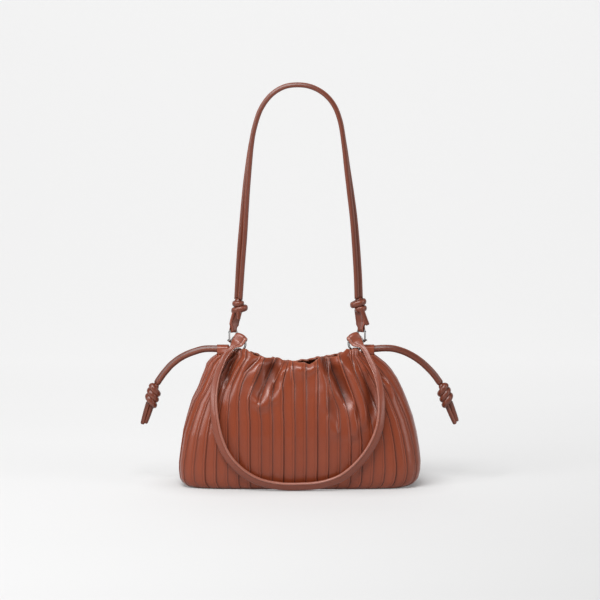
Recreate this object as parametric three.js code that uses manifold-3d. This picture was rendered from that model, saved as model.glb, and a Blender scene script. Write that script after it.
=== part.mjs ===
// A pleated leather drawstring purse with a hanging handle and a shoulder strap of two rolled cords.
// Millimetres, +Z up, the front of the purse faces -Y. Pieces are modelled above the floor of the purse,
// and the whole group is lowered, so that the origin lies where the shoulder strap hangs.
import * as THREE from 'three';
import * as BufferGeometryUtils from 'three/addons/utils/BufferGeometryUtils.js';
import Module from 'manifold-3d';

const wasm = await Module();
wasm.setup();

// Overall sizes
const BODY_WIDTH = 300;
const BODY_DEPTH = 97;
const SIDE_HEIGHT = 163.5;
const HANG_HEIGHT = 495.5;
const GAP = 0.3;

// Wall of the body
const WALL = 2.2;
const PLEATS = 52;
const TUCK = 1.2;
const FOLD_DEPTH = 6;
const BASE_THICK = 2.4;
const NORMAL_STEP = 0.004;
const SEARCH_STEP = 0.005;

// Drawstring
const CORD_DIAMETER = 8.7;
const CHANNEL_WALL = 1.5;
const CHANNEL_CLEARANCE = 0.4;
const CHANNEL_LENGTH = 13;
const KNOT_LENGTH = 28;
const KNOT_DIAMETER = 16.5;
const TAIL_LENGTH = 24;
const TAIL_WIDTH = 12;
const TAIL_FLATNESS = 0.55;
const TAIL_TAPER = 0.3;
const KNOT_WRAPS = 4;
const KNOT_NECK = 0.3;

// Rings, loops and handle
const RING_RADIUS = 9.8;
const RING_WIRE = 2.8;
const RING_YAW = 25;
const RING_FORWARD = 6;
const LOOP_WIDTH = 8;
const LOOP_THICK = 1.4;
const LOOP_FALL = 24;
const LOOP_SEAT = 10;
const LOOP_MARGIN = 1.35;
const LOOP_STEP = 0.1;
const HANDLE_WIDTH = 11.5;
const HANDLE_THICK = 3.2;
const HANDLE_STANDOFF = 6.5;
const HANDLE_LEAN = 30;
const FOLD_WIDTH = 10.5;
const FOLD_TILT = 28;
const FOLD_FALL = 1.35;
const FOLD_RUN = 0.05;
const LEAN_RUN = 0.2;

// Shoulder strap
const STRAP_DIAMETER = 6.3;
const STRAP_FOOT_RISE = 55;
const STRAP_KNOT_LENGTH = 14;
const STRAP_KNOT_DIAMETER = 17;
const TAB_WIDTH = 12;
const TAB_THICK = 1.3;
const TAB_NECK = 2;
const TAB_NARROW = 0.65;
const STRAP_KNOT_WRAPS = 2;
const STRAP_KNOT_NECK = 0.36;
const STRAP_TAIL_AHEAD = 0.41;
const STRAP_TAIL_SPREAD = 0.2;
const STRAP_TAIL_TAPER = 0.35;
const STRAP_TAIL_FLATNESS = 0.4;

// Clips
const CLIP_WIDTH = 13.2;
const CLIP_HEIGHT = 17;
const CLIP_BAR = 2.2;
const CLIP_CORNER = 4.5;
const CLIP_YAW = 37;
const CLIP_SHIFT = 0.52;
const CLIP_LIFT = 1.4;
const GATE_THICK = 1.2;
const GATE_WIDTH = 1.8;
const EYE_RADIUS = 1.4;
const LEVER_LENGTH = 3.2;
const CHEEK_THICK = 0.7;
const CHEEK_DROP = 1.7;
const PIN_RADIUS = 0.6;
const PIN_CLEARANCE = 0.25;

// Fineness of the meshes
const KNOT_SIDES = 16;
const RING_STEPS = 28;
const WIRE_SIDES = 8;
const CORD_STEPS = 10;
const CORD_SIDES = 12;
const CHANNEL_STEPS = 12;
const HANDLE_STEPS = 44;
const STRIP_ROUNDING = 0.4;

const LEATHER = new THREE.MeshStandardMaterial({ color: 0x8c4b36, roughness: 0.42, metalness: 0 });
const ROLLED = new THREE.MeshStandardMaterial({ color: 0x7d4030, roughness: 0.4, metalness: 0 });
const SILVER = new THREE.MeshStandardMaterial({ color: 0xc8c8c8, roughness: 0.2, metalness: 1 });

const UP = new THREE.Vector3(0, 0, 1);
const BACK = new THREE.Vector3(0, 1, 0);
const SIDES = [['left', -1], ['right', 1]];

// Outline of the body. height is a share of SIDE_HEIGHT, left and right are shares of half the width,
// depth is a share of half the depth, and square is the exponent of the rounded plan.
const OUTLINE = [
  { height: 0.000, left: 0.933, right: 0.893, depth: 0.900, square: 5.0 },
  { height: 0.025, left: 0.973, right: 0.950, depth: 0.945, square: 5.0 },
  { height: 0.062, left: 0.993, right: 0.980, depth: 0.975, square: 5.0 },
  { height: 0.123, left: 1.000, right: 0.997, depth: 1.000, square: 4.8 },
  { height: 0.185, left: 1.000, right: 1.000, depth: 1.000, square: 4.6 },
  { height: 0.284, left: 0.987, right: 0.987, depth: 0.990, square: 4.4 },
  { height: 0.407, left: 0.969, right: 0.963, depth: 0.965, square: 4.1 },
  { height: 0.531, left: 0.933, right: 0.930, depth: 0.915, square: 3.8 },
  { height: 0.654, left: 0.893, right: 0.883, depth: 0.840, square: 3.4 },
  { height: 0.735, left: 0.851, right: 0.850, depth: 0.775, square: 3.1 },
  { height: 0.815, left: 0.820, right: 0.810, depth: 0.700, square: 2.8 },
  { height: 0.889, left: 0.787, right: 0.757, depth: 0.620, square: 2.6 },
  { height: 0.932, left: 0.773, right: 0.715, depth: 0.560, square: 2.4 },
  { height: 0.969, left: 0.740, right: 0.665, depth: 0.505, square: 2.3 },
  { height: 1.000, left: 0.693, right: 0.620, depth: 0.465, square: 2.2 },
  { height: 1.090, left: 0.693, right: 0.620, depth: 0.440, square: 2.2 },
];

// Height of the rim. turn goes once round the wall from the left side by the front, and height is a
// share of SIDE_HEIGHT.
const RIM = [
  { turn: 0.000, height: 1.000 },
  { turn: 0.046, height: 1.000 },
  { turn: 0.060, height: 1.018 },
  { turn: 0.080, height: 1.025 },
  { turn: 0.110, height: 1.022 },
  { turn: 0.160, height: 1.000 },
  { turn: 0.210, height: 0.978 },
  { turn: 0.260, height: 0.966 },
  { turn: 0.310, height: 0.966 },
  { turn: 0.350, height: 0.990 },
  { turn: 0.400, height: 1.012 },
  { turn: 0.430, height: 1.020 },
  { turn: 0.446, height: 1.016 },
  { turn: 0.458, height: 1.000 },
  { turn: 0.542, height: 1.000 },
  { turn: 0.556, height: 1.020 },
  { turn: 0.640, height: 1.008 },
  { turn: 0.750, height: 0.972 },
  { turn: 0.860, height: 1.008 },
  { turn: 0.942, height: 1.022 },
  { turn: 0.956, height: 1.000 },
  { turn: 1.000, height: 1.000 },
];

// Heights of the wall's sections, as shares of the height of the rim.
const WALL_LEVELS = [0, 0.03, 0.1, 0.22, 0.38, 0.53, 0.66, 0.77, 0.87, 0.94, 1];

// Folds of the gathered mouth. turn and width are shares of the way round, foot is the share of
// SIDE_HEIGHT where a fold starts, and depth is a share of FOLD_DEPTH, outwards if positive.
const FOLDS = [
  { turn: 0.085, width: 0.016, foot: 0.45, depth: -0.60 },
  { turn: 0.118, width: 0.016, foot: 0.50, depth: 0.75 },
  { turn: 0.150, width: 0.014, foot: 0.56, depth: 0.50 },
  { turn: 0.182, width: 0.016, foot: 0.62, depth: -1.00 },
  { turn: 0.212, width: 0.014, foot: 0.60, depth: 0.60 },
  { turn: 0.262, width: 0.020, foot: 0.70, depth: 0.35 },
  { turn: 0.300, width: 0.012, foot: 0.55, depth: 0.45 },
  { turn: 0.336, width: 0.018, foot: 0.40, depth: -0.90 },
  { turn: 0.372, width: 0.016, foot: 0.38, depth: 0.70 },
  { turn: 0.405, width: 0.014, foot: 0.45, depth: -0.40 },
  { turn: 0.575, width: 0.016, foot: 0.50, depth: -0.50 },
  { turn: 0.615, width: 0.018, foot: 0.52, depth: 0.70 },
  { turn: 0.655, width: 0.016, foot: 0.56, depth: -0.80 },
  { turn: 0.695, width: 0.018, foot: 0.60, depth: 0.50 },
  { turn: 0.740, width: 0.020, foot: 0.62, depth: -0.70 },
  { turn: 0.785, width: 0.018, foot: 0.58, depth: 0.55 },
  { turn: 0.825, width: 0.016, foot: 0.52, depth: -0.80 },
  { turn: 0.865, width: 0.018, foot: 0.50, depth: 0.70 },
  { turn: 0.910, width: 0.016, foot: 0.50, depth: -0.50 },
];

// Profile of one pleat. along is a share of the pleat, and proud a share of TUCK.
const PLEAT = [
  { along: 0.00, proud: 0.0 },
  { along: 0.45, proud: 0.4 },
  { along: 0.88, proud: 1.0 },
];

// One turn of a knot's cord: a share of the turn, and a share of the knot's radius.
const WRAP = [[0.12, 0.86], [0.5, 1], [0.88, 0.86]];

// Outline of a clip's lever: shares of the lever's length and of the eye's radius.
const LEVER = [{ out: 0.7, up: -1 }, { out: 1, up: -0.3 }, { out: 0.75, up: 0.5 }];

// Route of the drawstring's free ends: x and height above the floor, in millimetres.
const DRAWCORD_ROUTE = {
  left: [
    [-93, 170.1], [-98.5, 170.1], [-103.9, 170.1], [-111.5, 170.3], [-119, 170], [-125.8, 168.7],
    [-132.4, 166.6], [-139.8, 163.9], [-146.9, 160.5], [-152.7, 156.9], [-158, 152.8],
    [-162.8, 148.5], [-167, 143.8], [-171.1, 138.9], [-174.8, 133.8], [-177.7, 129.5], [-180, 125.4],
  ],
  right: [
    [82, 170.1], [88, 170.1], [94.5, 170.2], [102, 170.8], [110, 170.9], [117.4, 170.2], [124.5, 168.4],
    [131.4, 166.0], [138, 162.8], [144.4, 159.1], [150.3, 154.9], [155.5, 150.6], [160.3, 146],
    [165, 141.1], [169.3, 136], [173.2, 130.6], [176.6, 125.6],
  ],
};
const TAIL_END = { left: [-195.9, 76.5], right: [196, 77.4] };

// Route of the shoulder strap. across is a share of the way out to the strap's foot on that side, and
// rise a share of the way from the foot up to the top.
const STRAP_ROUTE = [
  { across: -1.000, rise: 0.000 },
  { across: -0.961, rise: 0.178 },
  { across: -0.924, rise: 0.311 },
  { across: -0.869, rise: 0.512 },
  { across: -0.827, rise: 0.631 },
  { across: -0.788, rise: 0.720 },
  { across: -0.728, rise: 0.809 },
  { across: -0.622, rise: 0.893 },
  { across: -0.458, rise: 0.955 },
  { across: -0.249, rise: 0.991 },
  { across: -0.020, rise: 1.000 },
  { across: 0.198, rise: 0.990 },
  { across: 0.409, rise: 0.958 },
  { across: 0.568, rise: 0.908 },
  { across: 0.673, rise: 0.837 },
  { across: 0.748, rise: 0.720 },
  { across: 0.801, rise: 0.607 },
  { across: 0.849, rise: 0.511 },
  { across: 0.915, rise: 0.367 },
  { across: 0.982, rise: 0.125 },
  { across: 1.000, rise: 0.000 },
];

// Turn of the strap's two cords about their route: 0 side by side, 90 one behind the other.
const STRAP_TURN = [
  { along: 0.00, angle: 45 },
  { along: 0.12, angle: 32 },
  { along: 0.25, angle: 60 },
  { along: 0.34, angle: 88 },
  { along: 0.66, angle: 88 },
  { along: 0.78, angle: 62 },
  { along: 0.90, angle: 50 },
  { along: 1.00, angle: 45 },
];

// Route of the handle from the left ring to the right. across is a share of half the body's width, height
// a share of SIDE_HEIGHT, and away a share of HANDLE_STANDOFF in front of the wall.
const HANDLE_ROUTE = [
  { across: -0.567, height: 1.060, away: 0.35 },
  { across: -0.600, height: 1.025, away: 0.95 },
  { across: -0.645, height: 0.955, away: 1.00 },
  { across: -0.690, height: 0.870, away: 1.00 },
  { across: -0.713, height: 0.765, away: 1.00 },
  { across: -0.715, height: 0.655, away: 1.00 },
  { across: -0.700, height: 0.540, away: 1.00 },
  { across: -0.664, height: 0.400, away: 1.00 },
  { across: -0.597, height: 0.265, away: 1.00 },
  { across: -0.487, height: 0.155, away: 1.00 },
  { across: -0.345, height: 0.076, away: 1.00 },
  { across: -0.172, height: 0.040, away: 1.00 },
  { across: 0.004, height: 0.036, away: 1.00 },
  { across: 0.175, height: 0.050, away: 1.00 },
  { across: 0.338, height: 0.102, away: 1.00 },
  { across: 0.481, height: 0.210, away: 1.00 },
  { across: 0.587, height: 0.340, away: 1.00 },
  { across: 0.650, height: 0.475, away: 1.00 },
  { across: 0.673, height: 0.625, away: 1.00 },
  { across: 0.669, height: 0.755, away: 1.00 },
  { across: 0.633, height: 0.895, away: 1.00 },
  { across: 0.585, height: 0.975, away: 1.00 },
  { across: 0.548, height: 1.028, away: 0.95 },
  { across: 0.515, height: 1.066, away: 0.35 },
];

// Places of the two rings, in millimetres. inside is how far a ring stands inwards of its channel end, rise
// how far above SIDE_HEIGHT its wire starts, clip how many degrees outwards from its top the clip hangs, and
// foot how far out of its middle the strap ends. tail is how far to the right of its knot the short tail
// starts, lean how much further right it ends, and drop its height.
const RINGS = {
  left: { inside: 3.8, rise: 2.7, clip: 38, foot: 0, tail: 1.6, lean: -0.4, drop: 10 },
  right: { inside: 0.4, rise: 3.7, clip: 43, foot: 3.9, tail: 2.5, lean: 8, drop: 18 },
};

const rad = THREE.MathUtils.degToRad;

function along(rows, key, value, name) {
  const last = rows.length - 1;
  if (value <= rows[0][key]) return rows[0][name];
  if (value >= rows[last][key]) return rows[last][name];
  let i = 0;
  while (rows[i + 1][key] < value) i++;
  const share = (value - rows[i][key]) / (rows[i + 1][key] - rows[i][key]);
  return rows[i][name] + share * (rows[i + 1][name] - rows[i][name]);
}

// One half of the plan, front or back, as evenly numbered points from the left side to the right.
const PLAN_STEPS = 240;
const planCache = new Map();

function halfPlan(height) {
  if (planCache.has(height)) return planCache.get(height);
  const level = height / SIDE_HEIGHT;
  const left = along(OUTLINE, 'height', level, 'left') * BODY_WIDTH / 2;
  const right = along(OUTLINE, 'height', level, 'right') * BODY_WIDTH / 2;
  const depth = along(OUTLINE, 'height', level, 'depth') * BODY_DEPTH / 2;
  const power = 2 / along(OUTLINE, 'height', level, 'square');
  const points = [];
  const lengths = [0];
  for (let i = 0; i <= PLAN_STEPS; i++) {
    const angle = Math.PI * i / PLAN_STEPS;
    const across = Math.cos(angle);
    const side = across > 0 ? left : right;
    const x = -Math.sign(across) * side * Math.abs(across) ** power;
    points.push(new THREE.Vector2(x, depth * Math.max(Math.sin(angle), 0) ** power));
    if (i > 0) lengths.push(lengths[i - 1] + points[i].distanceTo(points[i - 1]));
  }
  const plan = { points, lengths };
  planCache.set(height, plan);
  return plan;
}

function planPoint(turn, height) {
  const front = turn <= 0.5;
  const share = front ? turn * 2 : 2 - turn * 2;
  const { points, lengths } = halfPlan(height);
  const goal = share * lengths[PLAN_STEPS];
  let i = 0;
  while (i < PLAN_STEPS - 1 && lengths[i + 1] < goal) i++;
  const step = (goal - lengths[i]) / (lengths[i + 1] - lengths[i]);
  const p = points[i].clone().lerp(points[i + 1], step);
  return new THREE.Vector2(p.x, front ? -p.y : p.y);
}

function planNormal(turn, height) {
  const before = planPoint((turn - NORMAL_STEP + 1) % 1, height);
  const after = planPoint((turn + NORMAL_STEP) % 1, height);
  const ahead = after.sub(before).normalize();
  return new THREE.Vector2(ahead.y, -ahead.x);
}

function rimHeight(turn) {
  return along(RIM, 'turn', turn, 'height') * SIDE_HEIGHT;
}

function foldOffset(turn, height) {
  let offset = 0;
  for (const fold of FOLDS) {
    const away = (turn - fold.turn) / fold.width;
    if (Math.abs(away) > 3) continue;
    const rise = THREE.MathUtils.smoothstep(height / SIDE_HEIGHT, fold.foot, 1);
    offset += fold.depth * FOLD_DEPTH * rise * Math.exp(-away * away);
  }
  return offset;
}

function wallPoint(turn, height, proud) {
  const p = planPoint(turn, height);
  const normal = planNormal(turn, height);
  p.addScaledVector(normal, foldOffset(turn, height) + proud);
  return new THREE.Vector3(p.x, p.y, height);
}

// Where the front of the wall is at this place across and height.
function frontAt(x, height) {
  let nearest = wallPoint(2 * SEARCH_STEP, height, TUCK);
  for (let turn = 2 * SEARCH_STEP; turn < 0.5; turn += SEARCH_STEP) {
    const p = wallPoint(turn, height, TUCK);
    if (Math.abs(p.x - x) < Math.abs(nearest.x - x)) nearest = p;
  }
  return nearest;
}

function solidOf(geometry) {
  const bare = geometry.clone();
  bare.deleteAttribute('normal');
  bare.deleteAttribute('uv');
  const merged = BufferGeometryUtils.mergeVertices(bare, 1e-4);
  return new wasm.Manifold(new wasm.Mesh({
    numProp: 3,
    vertProperties: merged.attributes.position.array,
    triVerts: new Uint32Array(merged.index.array),
  }));
}

function geometryOf(solid) {
  const mesh = solid.getMesh();
  const geometry = new THREE.BufferGeometry();
  geometry.setAttribute('position', new THREE.BufferAttribute(mesh.vertProperties, 3));
  geometry.setIndex(new THREE.BufferAttribute(mesh.triVerts, 1));
  return geometry;
}

function united(geometries) {
  return geometryOf(geometries.map(solidOf).reduce((all, next) => all.add(next)));
}

// Bends a straight extrusion along a path. frameAt gives the centre and the two directions of a section.
function bentStrip(outline, steps, frameAt) {
  const settings = { depth: 1, steps, bevelEnabled: false, curveSegments: 4 };
  const geometry = new THREE.ExtrudeGeometry(outline, settings);
  const position = geometry.attributes.position;
  for (let i = 0; i < position.count; i++) {
    const frame = frameAt(position.getZ(i));
    const p = frame.centre.clone();
    p.addScaledVector(frame.wide, position.getX(i));
    p.addScaledVector(frame.thick, position.getY(i));
    position.setXYZ(i, p.x, p.y, p.z);
  }
  geometry.deleteAttribute('normal');
  geometry.deleteAttribute('uv');
  return geometry;
}

function roundedStrip(width, thick) {
  const corner = thick * STRIP_ROUNDING;
  const x = width / 2;
  const y = thick / 2;
  const outline = new THREE.Shape();
  outline.moveTo(-x + corner, -y);
  outline.lineTo(x - corner, -y);
  outline.lineTo(x, -y + corner);
  outline.lineTo(x, y - corner);
  outline.lineTo(x - corner, y);
  outline.lineTo(-x + corner, y);
  outline.lineTo(-x, y - corner);
  outline.lineTo(-x, -y + corner);
  outline.closePath();
  return outline;
}

function tube(curve, radius, sides, steps) {
  const section = new THREE.Shape();
  for (let i = 0; i < sides; i++) {
    const angle = 2 * Math.PI * i / sides;
    if (i === 0) section.moveTo(radius, 0);
    else section.lineTo(radius * Math.cos(angle), radius * Math.sin(angle));
  }
  section.closePath();
  return new THREE.ExtrudeGeometry(section, { extrudePath: curve, steps, bevelEnabled: false });
}

// A flat shape in the plane of two directions, made solid across its width.
function plate(shape, origin, xAxis, yAxis, width, curveSegments = 8) {
  const geometry = new THREE.ExtrudeGeometry(shape, { depth: width, bevelEnabled: false, curveSegments });
  geometry.translate(0, 0, -width / 2);
  const zAxis = xAxis.clone().cross(yAxis);
  const place = new THREE.Matrix4().makeBasis(xAxis, yAxis, zAxis).setPosition(origin);
  return geometry.applyMatrix4(place);
}

function circleHole(x, y, radius) {
  const hole = new THREE.Path();
  hole.absarc(x, y, radius, 0, 2 * Math.PI, true);
  return hole;
}

function mesh(name, geometry, material) {
  const made = new THREE.Mesh(geometry, material);
  made.name = name;
  return made;
}

// Body: a closed ring of outer and inner wall, open at the mouth and at the base.
function bagBody() {
  const columns = PLEATS * PLEAT.length;
  const outside = WALL_LEVELS.map((level) => new THREE.Vector2(2, level));
  const inside = WALL_LEVELS.map((level) => new THREE.Vector2(1, level)).reverse();
  const profile = [...outside, ...inside, outside[0].clone()];
  const geometry = new THREE.LatheGeometry(profile, columns);
  const position = geometry.attributes.position;
  for (let i = 0; i < position.count; i++) {
    const column = Math.floor(i / profile.length) % columns;
    const row = i % profile.length;
    const step = PLEAT[column % PLEAT.length];
    const pleat = Math.floor(column / PLEAT.length);
    const turn = (pleat + step.along) / PLEATS;
    const height = rimHeight(turn) * profile[row].y;
    const proud = profile[row].x > 1.5 ? step.proud * TUCK : -WALL;
    const p = wallPoint(turn, height, proud);
    position.setXYZ(i, p.x, p.y, p.z);
  }
  geometry.deleteAttribute('normal');
  geometry.deleteAttribute('uv');
  return mesh('bag_body', geometry, LEATHER);
}

// Base: a flat plate that fits inside the lower edge of the wall.
function basePanel() {
  const corners = 64;
  const outline = new THREE.Shape();
  for (let i = 0; i < corners; i++) {
    const p = wallPoint(i / corners, 0, -WALL - GAP);
    if (i === 0) outline.moveTo(p.x, p.y);
    else outline.lineTo(p.x, p.y);
  }
  outline.closePath();
  const geometry = new THREE.ExtrudeGeometry(outline, { depth: BASE_THICK, bevelEnabled: false });
  return mesh('base_panel', geometry, LEATHER);
}

function routeCurve(points, y = 0) {
  return new THREE.CatmullRomCurve3(points.map(([x, z]) => new THREE.Vector3(x, y, z)));
}

// Channel end: a short leather sleeve on the side of the rim, round the drawstring.
function channelEnd(side, sign) {
  const tip = Math.abs(wallPoint(sign < 0 ? 0 : 0.5, SIDE_HEIGHT, 0).x);
  const bore = CORD_DIAMETER / 2 + CHANNEL_CLEARANCE;
  const outer = bore + CHANNEL_WALL;
  const shape = new THREE.Shape();
  shape.moveTo(-outer, -outer);
  shape.lineTo(outer, -outer);
  shape.lineTo(outer, 0);
  shape.absarc(0, 0, outer, 0, Math.PI, false);
  shape.lineTo(-outer, -outer);
  shape.holes.push(circleHole(0, 0, bore));
  const centre = new THREE.Vector3(sign * (tip - CHANNEL_LENGTH / 2), 0, SIDE_HEIGHT + GAP + outer);
  return mesh(`channel_end_${side}`, plate(shape, centre, BACK, UP, CHANNEL_LENGTH, CHANNEL_STEPS), LEATHER);
}

function drawcord(side) {
  const curve = routeCurve(DRAWCORD_ROUTE[side]);
  return mesh(`drawcord_${side}`, tube(curve, CORD_DIAMETER / 2, CORD_STEPS, CORD_SIDES), ROLLED);
}

// A solid turned about the line from one point to another.
function turnedBetween(start, end, profile, sides) {
  const geometry = new THREE.LatheGeometry(profile, sides);
  const axis = end.clone().sub(start).normalize();
  const place = new THREE.Matrix4();
  place.makeRotationFromQuaternion(new THREE.Quaternion().setFromUnitVectors(BACK, axis));
  place.setPosition(start);
  return geometry.applyMatrix4(place);
}

// Outline of a knot whose cord is wound round in a number of turns.
function woundProfile(length, radius, wraps, neck) {
  const profile = [new THREE.Vector2(0, 0), new THREE.Vector2(neck, 0)];
  const pitch = length / wraps;
  for (let wrap = 0; wrap < wraps; wrap++) {
    for (const [share, bulge] of WRAP) {
      profile.push(new THREE.Vector2(radius * bulge, (wrap + share) * pitch));
    }
  }
  profile.push(new THREE.Vector2(neck, length), new THREE.Vector2(0, length));
  return profile;
}

function drawcordKnot(side) {
  const route = DRAWCORD_ROUTE[side];
  const [x, z] = route[route.length - 1];
  const [xEnd, zEnd] = TAIL_END[side];
  const last = new THREE.Vector3(x, 0, z);
  const far = new THREE.Vector3(xEnd, 0, zEnd);
  const before = new THREE.Vector3(route[route.length - 2][0], 0, route[route.length - 2][1]);
  const way = last.clone().sub(before).normalize();
  const bend = way.angleTo(far.clone().sub(last));
  const neck = KNOT_DIAMETER * KNOT_NECK;
  const start = last.clone().addScaledVector(way, GAP + neck * Math.tan(bend));
  const end = far.clone().sub(start).setLength(KNOT_LENGTH).add(start);
  const profile = woundProfile(KNOT_LENGTH, KNOT_DIAMETER / 2, KNOT_WRAPS, neck);
  const knot = mesh(`drawcord_knot_${side}`, turnedBetween(start, end, profile, KNOT_SIDES), ROLLED);
  const axis = end.clone().sub(start).normalize();
  const top = end.clone().addScaledVector(axis, GAP);
  const across = new THREE.Vector3().crossVectors(BACK, axis);
  const frameAt = (share) => ({
    centre: top.clone().addScaledVector(axis, share * TAIL_LENGTH),
    wide: across.clone().multiplyScalar(1 - TAIL_TAPER * share),
    thick: BACK.clone(),
  });
  const tail = bentStrip(roundedStrip(TAIL_WIDTH, TAIL_WIDTH * TAIL_FLATNESS), 4, frameAt);
  return [knot, mesh(`drawcord_tail_${side}`, tail, ROLLED)];
}

function ringCentre(side) {
  const { inside, rise } = RINGS[side];
  const tip = wallPoint(side === 'left' ? 0 : 0.5, SIDE_HEIGHT, 0).x;
  const reach = (RING_RADIUS + RING_WIRE / 2) * Math.cos(rad(RING_YAW));
  const x = tip - Math.sign(tip) * (CHANNEL_LENGTH + inside + reach);
  return new THREE.Vector3(x, -RING_FORWARD, SIDE_HEIGHT + rise + RING_RADIUS + RING_WIRE / 2);
}

// Directions of a ring: outwards in its plane, and towards the front.
function ringFrame(sign) {
  const out = new THREE.Vector3(sign * Math.cos(rad(RING_YAW)), Math.sin(rad(RING_YAW)), 0);
  const front = new THREE.Vector3(sign * Math.sin(rad(RING_YAW)), -Math.cos(rad(RING_YAW)), 0);
  return { out, front };
}

// Point on the ring's wire at an angle outwards from its top, with the directions there.
function ringPoint(side, sign, degrees) {
  const { out, front } = ringFrame(sign);
  const radial = out.clone().multiplyScalar(Math.sin(rad(degrees)));
  radial.addScaledVector(UP, Math.cos(rad(degrees)));
  const tangent = out.clone().multiplyScalar(Math.cos(rad(degrees)));
  tangent.addScaledVector(UP, -Math.sin(rad(degrees)));
  const centre = ringCentre(side).addScaledVector(radial, RING_RADIUS);
  return { centre, radial, tangent, front };
}

function ring(side, sign) {
  const profile = [];
  for (let i = 0; i <= WIRE_SIDES; i++) {
    const angle = 2 * Math.PI * i / WIRE_SIDES;
    const reach = RING_RADIUS + RING_WIRE / 2 * Math.cos(angle);
    profile.push(new THREE.Vector2(reach, RING_WIRE / 2 * Math.sin(angle)));
  }
  const geometry = new THREE.LatheGeometry(profile, RING_STEPS);
  const { front } = ringFrame(sign);
  const turn = new THREE.Quaternion().setFromUnitVectors(BACK, front.clone().negate());
  const place = new THREE.Matrix4().makeRotationFromQuaternion(turn).setPosition(ringCentre(side));
  return mesh(`ring_${side}`, geometry.applyMatrix4(place), SILVER);
}

// Ring loop: a leather band round the bottom of the ring, lying on the inside of the front wall.
function ringLoop(side, sign) {
  const { centre, tangent, front } = ringPoint(side, sign, 180);
  const slack = LOOP_WIDTH ** 2 / (8 * RING_RADIUS);
  const hole = (RING_WIRE + slack) / 2 + GAP;
  const outer = hole + LOOP_THICK;
  const depth = (WALL + TUCK) * LOOP_MARGIN + GAP;
  const heights = [centre.z - LOOP_FALL, centre.z - LOOP_FALL - LOOP_SEAT];
  const insideWall = (reach, part, height) => {
    const p = centre.clone().addScaledVector(front, reach).addScaledVector(tangent, part * LOOP_WIDTH);
    return p.y > frontAt(p.x, height).y + depth;
  };
  const clear = (reach) => heights.every((height) => {
    return [-0.5, 0, 0.5].every((part) => insideWall(reach, part, height));
  });
  let reach = 0;
  while (clear(reach + LOOP_STEP)) reach += LOOP_STEP;
  const shape = new THREE.Shape();
  const start = rad(-40);
  shape.moveTo(outer * Math.cos(start), outer * Math.sin(start));
  shape.absarc(0, 0, outer, start, rad(215), false);
  shape.lineTo(reach - 2 * LOOP_THICK, -LOOP_FALL);
  shape.lineTo(reach - 2 * LOOP_THICK, -LOOP_FALL - LOOP_SEAT);
  shape.lineTo(reach, -LOOP_FALL - LOOP_SEAT);
  shape.lineTo(reach, -LOOP_FALL);
  shape.closePath();
  shape.holes.push(circleHole(0, 0, hole));
  const middle = centre.clone().addScaledVector(UP, slack / 2);
  return mesh(`ring_loop_${side}`, plate(shape, middle, front, UP, LOOP_WIDTH), LEATHER);
}

// Fold of the handle over a ring: a band round the wire, running down in front of the ring.
function handleFold(side, sign) {
  const { centre, radial, tangent, front } = ringPoint(side, sign, -FOLD_TILT);
  const slack = FOLD_WIDTH ** 2 / (8 * RING_RADIUS);
  const hole = RING_WIRE / 2 + 2 * GAP;
  const outer = hole + HANDLE_THICK / 2;
  const fall = RING_RADIUS * FOLD_FALL;
  const step = RING_WIRE / 2 + HANDLE_THICK / 2 + 4 * GAP;
  const shape = new THREE.Shape();
  shape.moveTo(outer, 0);
  shape.absarc(0, 0, outer, 0, Math.PI, false);
  shape.lineTo(-outer, -slack - hole);
  shape.lineTo(step - HANDLE_THICK / 2, -fall);
  shape.lineTo(step + HANDLE_THICK / 2, -fall);
  shape.closePath();
  const gap = new THREE.Path();
  gap.moveTo(-hole, 0);
  gap.lineTo(-hole, -slack);
  gap.absarc(0, -slack, hole, Math.PI, 2 * Math.PI, false);
  gap.lineTo(hole, 0);
  gap.absarc(0, 0, hole, 0, Math.PI, false);
  shape.holes.push(gap);
  const geometry = plate(shape, centre, front, radial, FOLD_WIDTH);
  const start = centre.clone().addScaledVector(radial, -fall).addScaledVector(front, step);
  return { geometry, start, wide: tangent.clone().negate(), way: radial.clone().negate() };
}

// Handle: a flat strip that hangs in a U in front of the wall.
function handle() {
  const folds = { left: handleFold('left', -1), right: handleFold('right', 1) };
  const edge = HANDLE_WIDTH / 2;
  const points = HANDLE_ROUTE.map(({ across, height }) => {
    const z = Math.max(height * SIDE_HEIGHT, edge);
    return new THREE.Vector3(across * BODY_WIDTH / 2, 0, z);
  });
  const reach = points.map(({ x, z }) => Math.min(frontAt(x, z).y, frontAt(x, Math.max(z - edge, 0)).y));
  const lowest = Math.ceil(points.length / 2);
  for (let i = 1; i < lowest; i++) reach[i] = Math.min(reach[i], reach[i - 1]);
  for (let i = points.length - 2; i >= lowest; i--) reach[i] = Math.min(reach[i], reach[i + 1]);
  points.forEach((p, i) => { p.y = reach[i] - HANDLE_ROUTE[i].away * HANDLE_STANDOFF; });
  const starts = ['left', 'right'].map((side) => {
    const { start, way } = folds[side];
    return start.clone().addScaledVector(way, -2);
  });
  const route = new THREE.CatmullRomCurve3([starts[0], ...points, starts[1]], false, 'centripetal');
  const frameAt = (share) => {
    const tangent = route.getTangentAt(share);
    const fromEnd = Math.min(share, 1 - share);
    const angle = rad(HANDLE_LEAN) * THREE.MathUtils.smoothstep(fromEnd, 0, LEAN_RUN);
    const out = new THREE.Vector3().crossVectors(tangent, BACK).normalize();
    const flat = out.clone().multiplyScalar(Math.cos(angle)).addScaledVector(BACK, -Math.sin(angle));
    const fold = share < 0.5 ? folds.left.wide : folds.right.wide;
    const wide = fold.clone().lerp(flat, THREE.MathUtils.smoothstep(fromEnd, 0, FOLD_RUN));
    wide.addScaledVector(tangent, -wide.dot(tangent)).normalize();
    return { centre: route.getPointAt(share), wide, thick: tangent.clone().cross(wide) };
  };
  const strip = bentStrip(roundedStrip(HANDLE_WIDTH, HANDLE_THICK), HANDLE_STEPS, frameAt);
  return mesh('handle', united([strip, folds.left.geometry, folds.right.geometry]), LEATHER);
}

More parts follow.
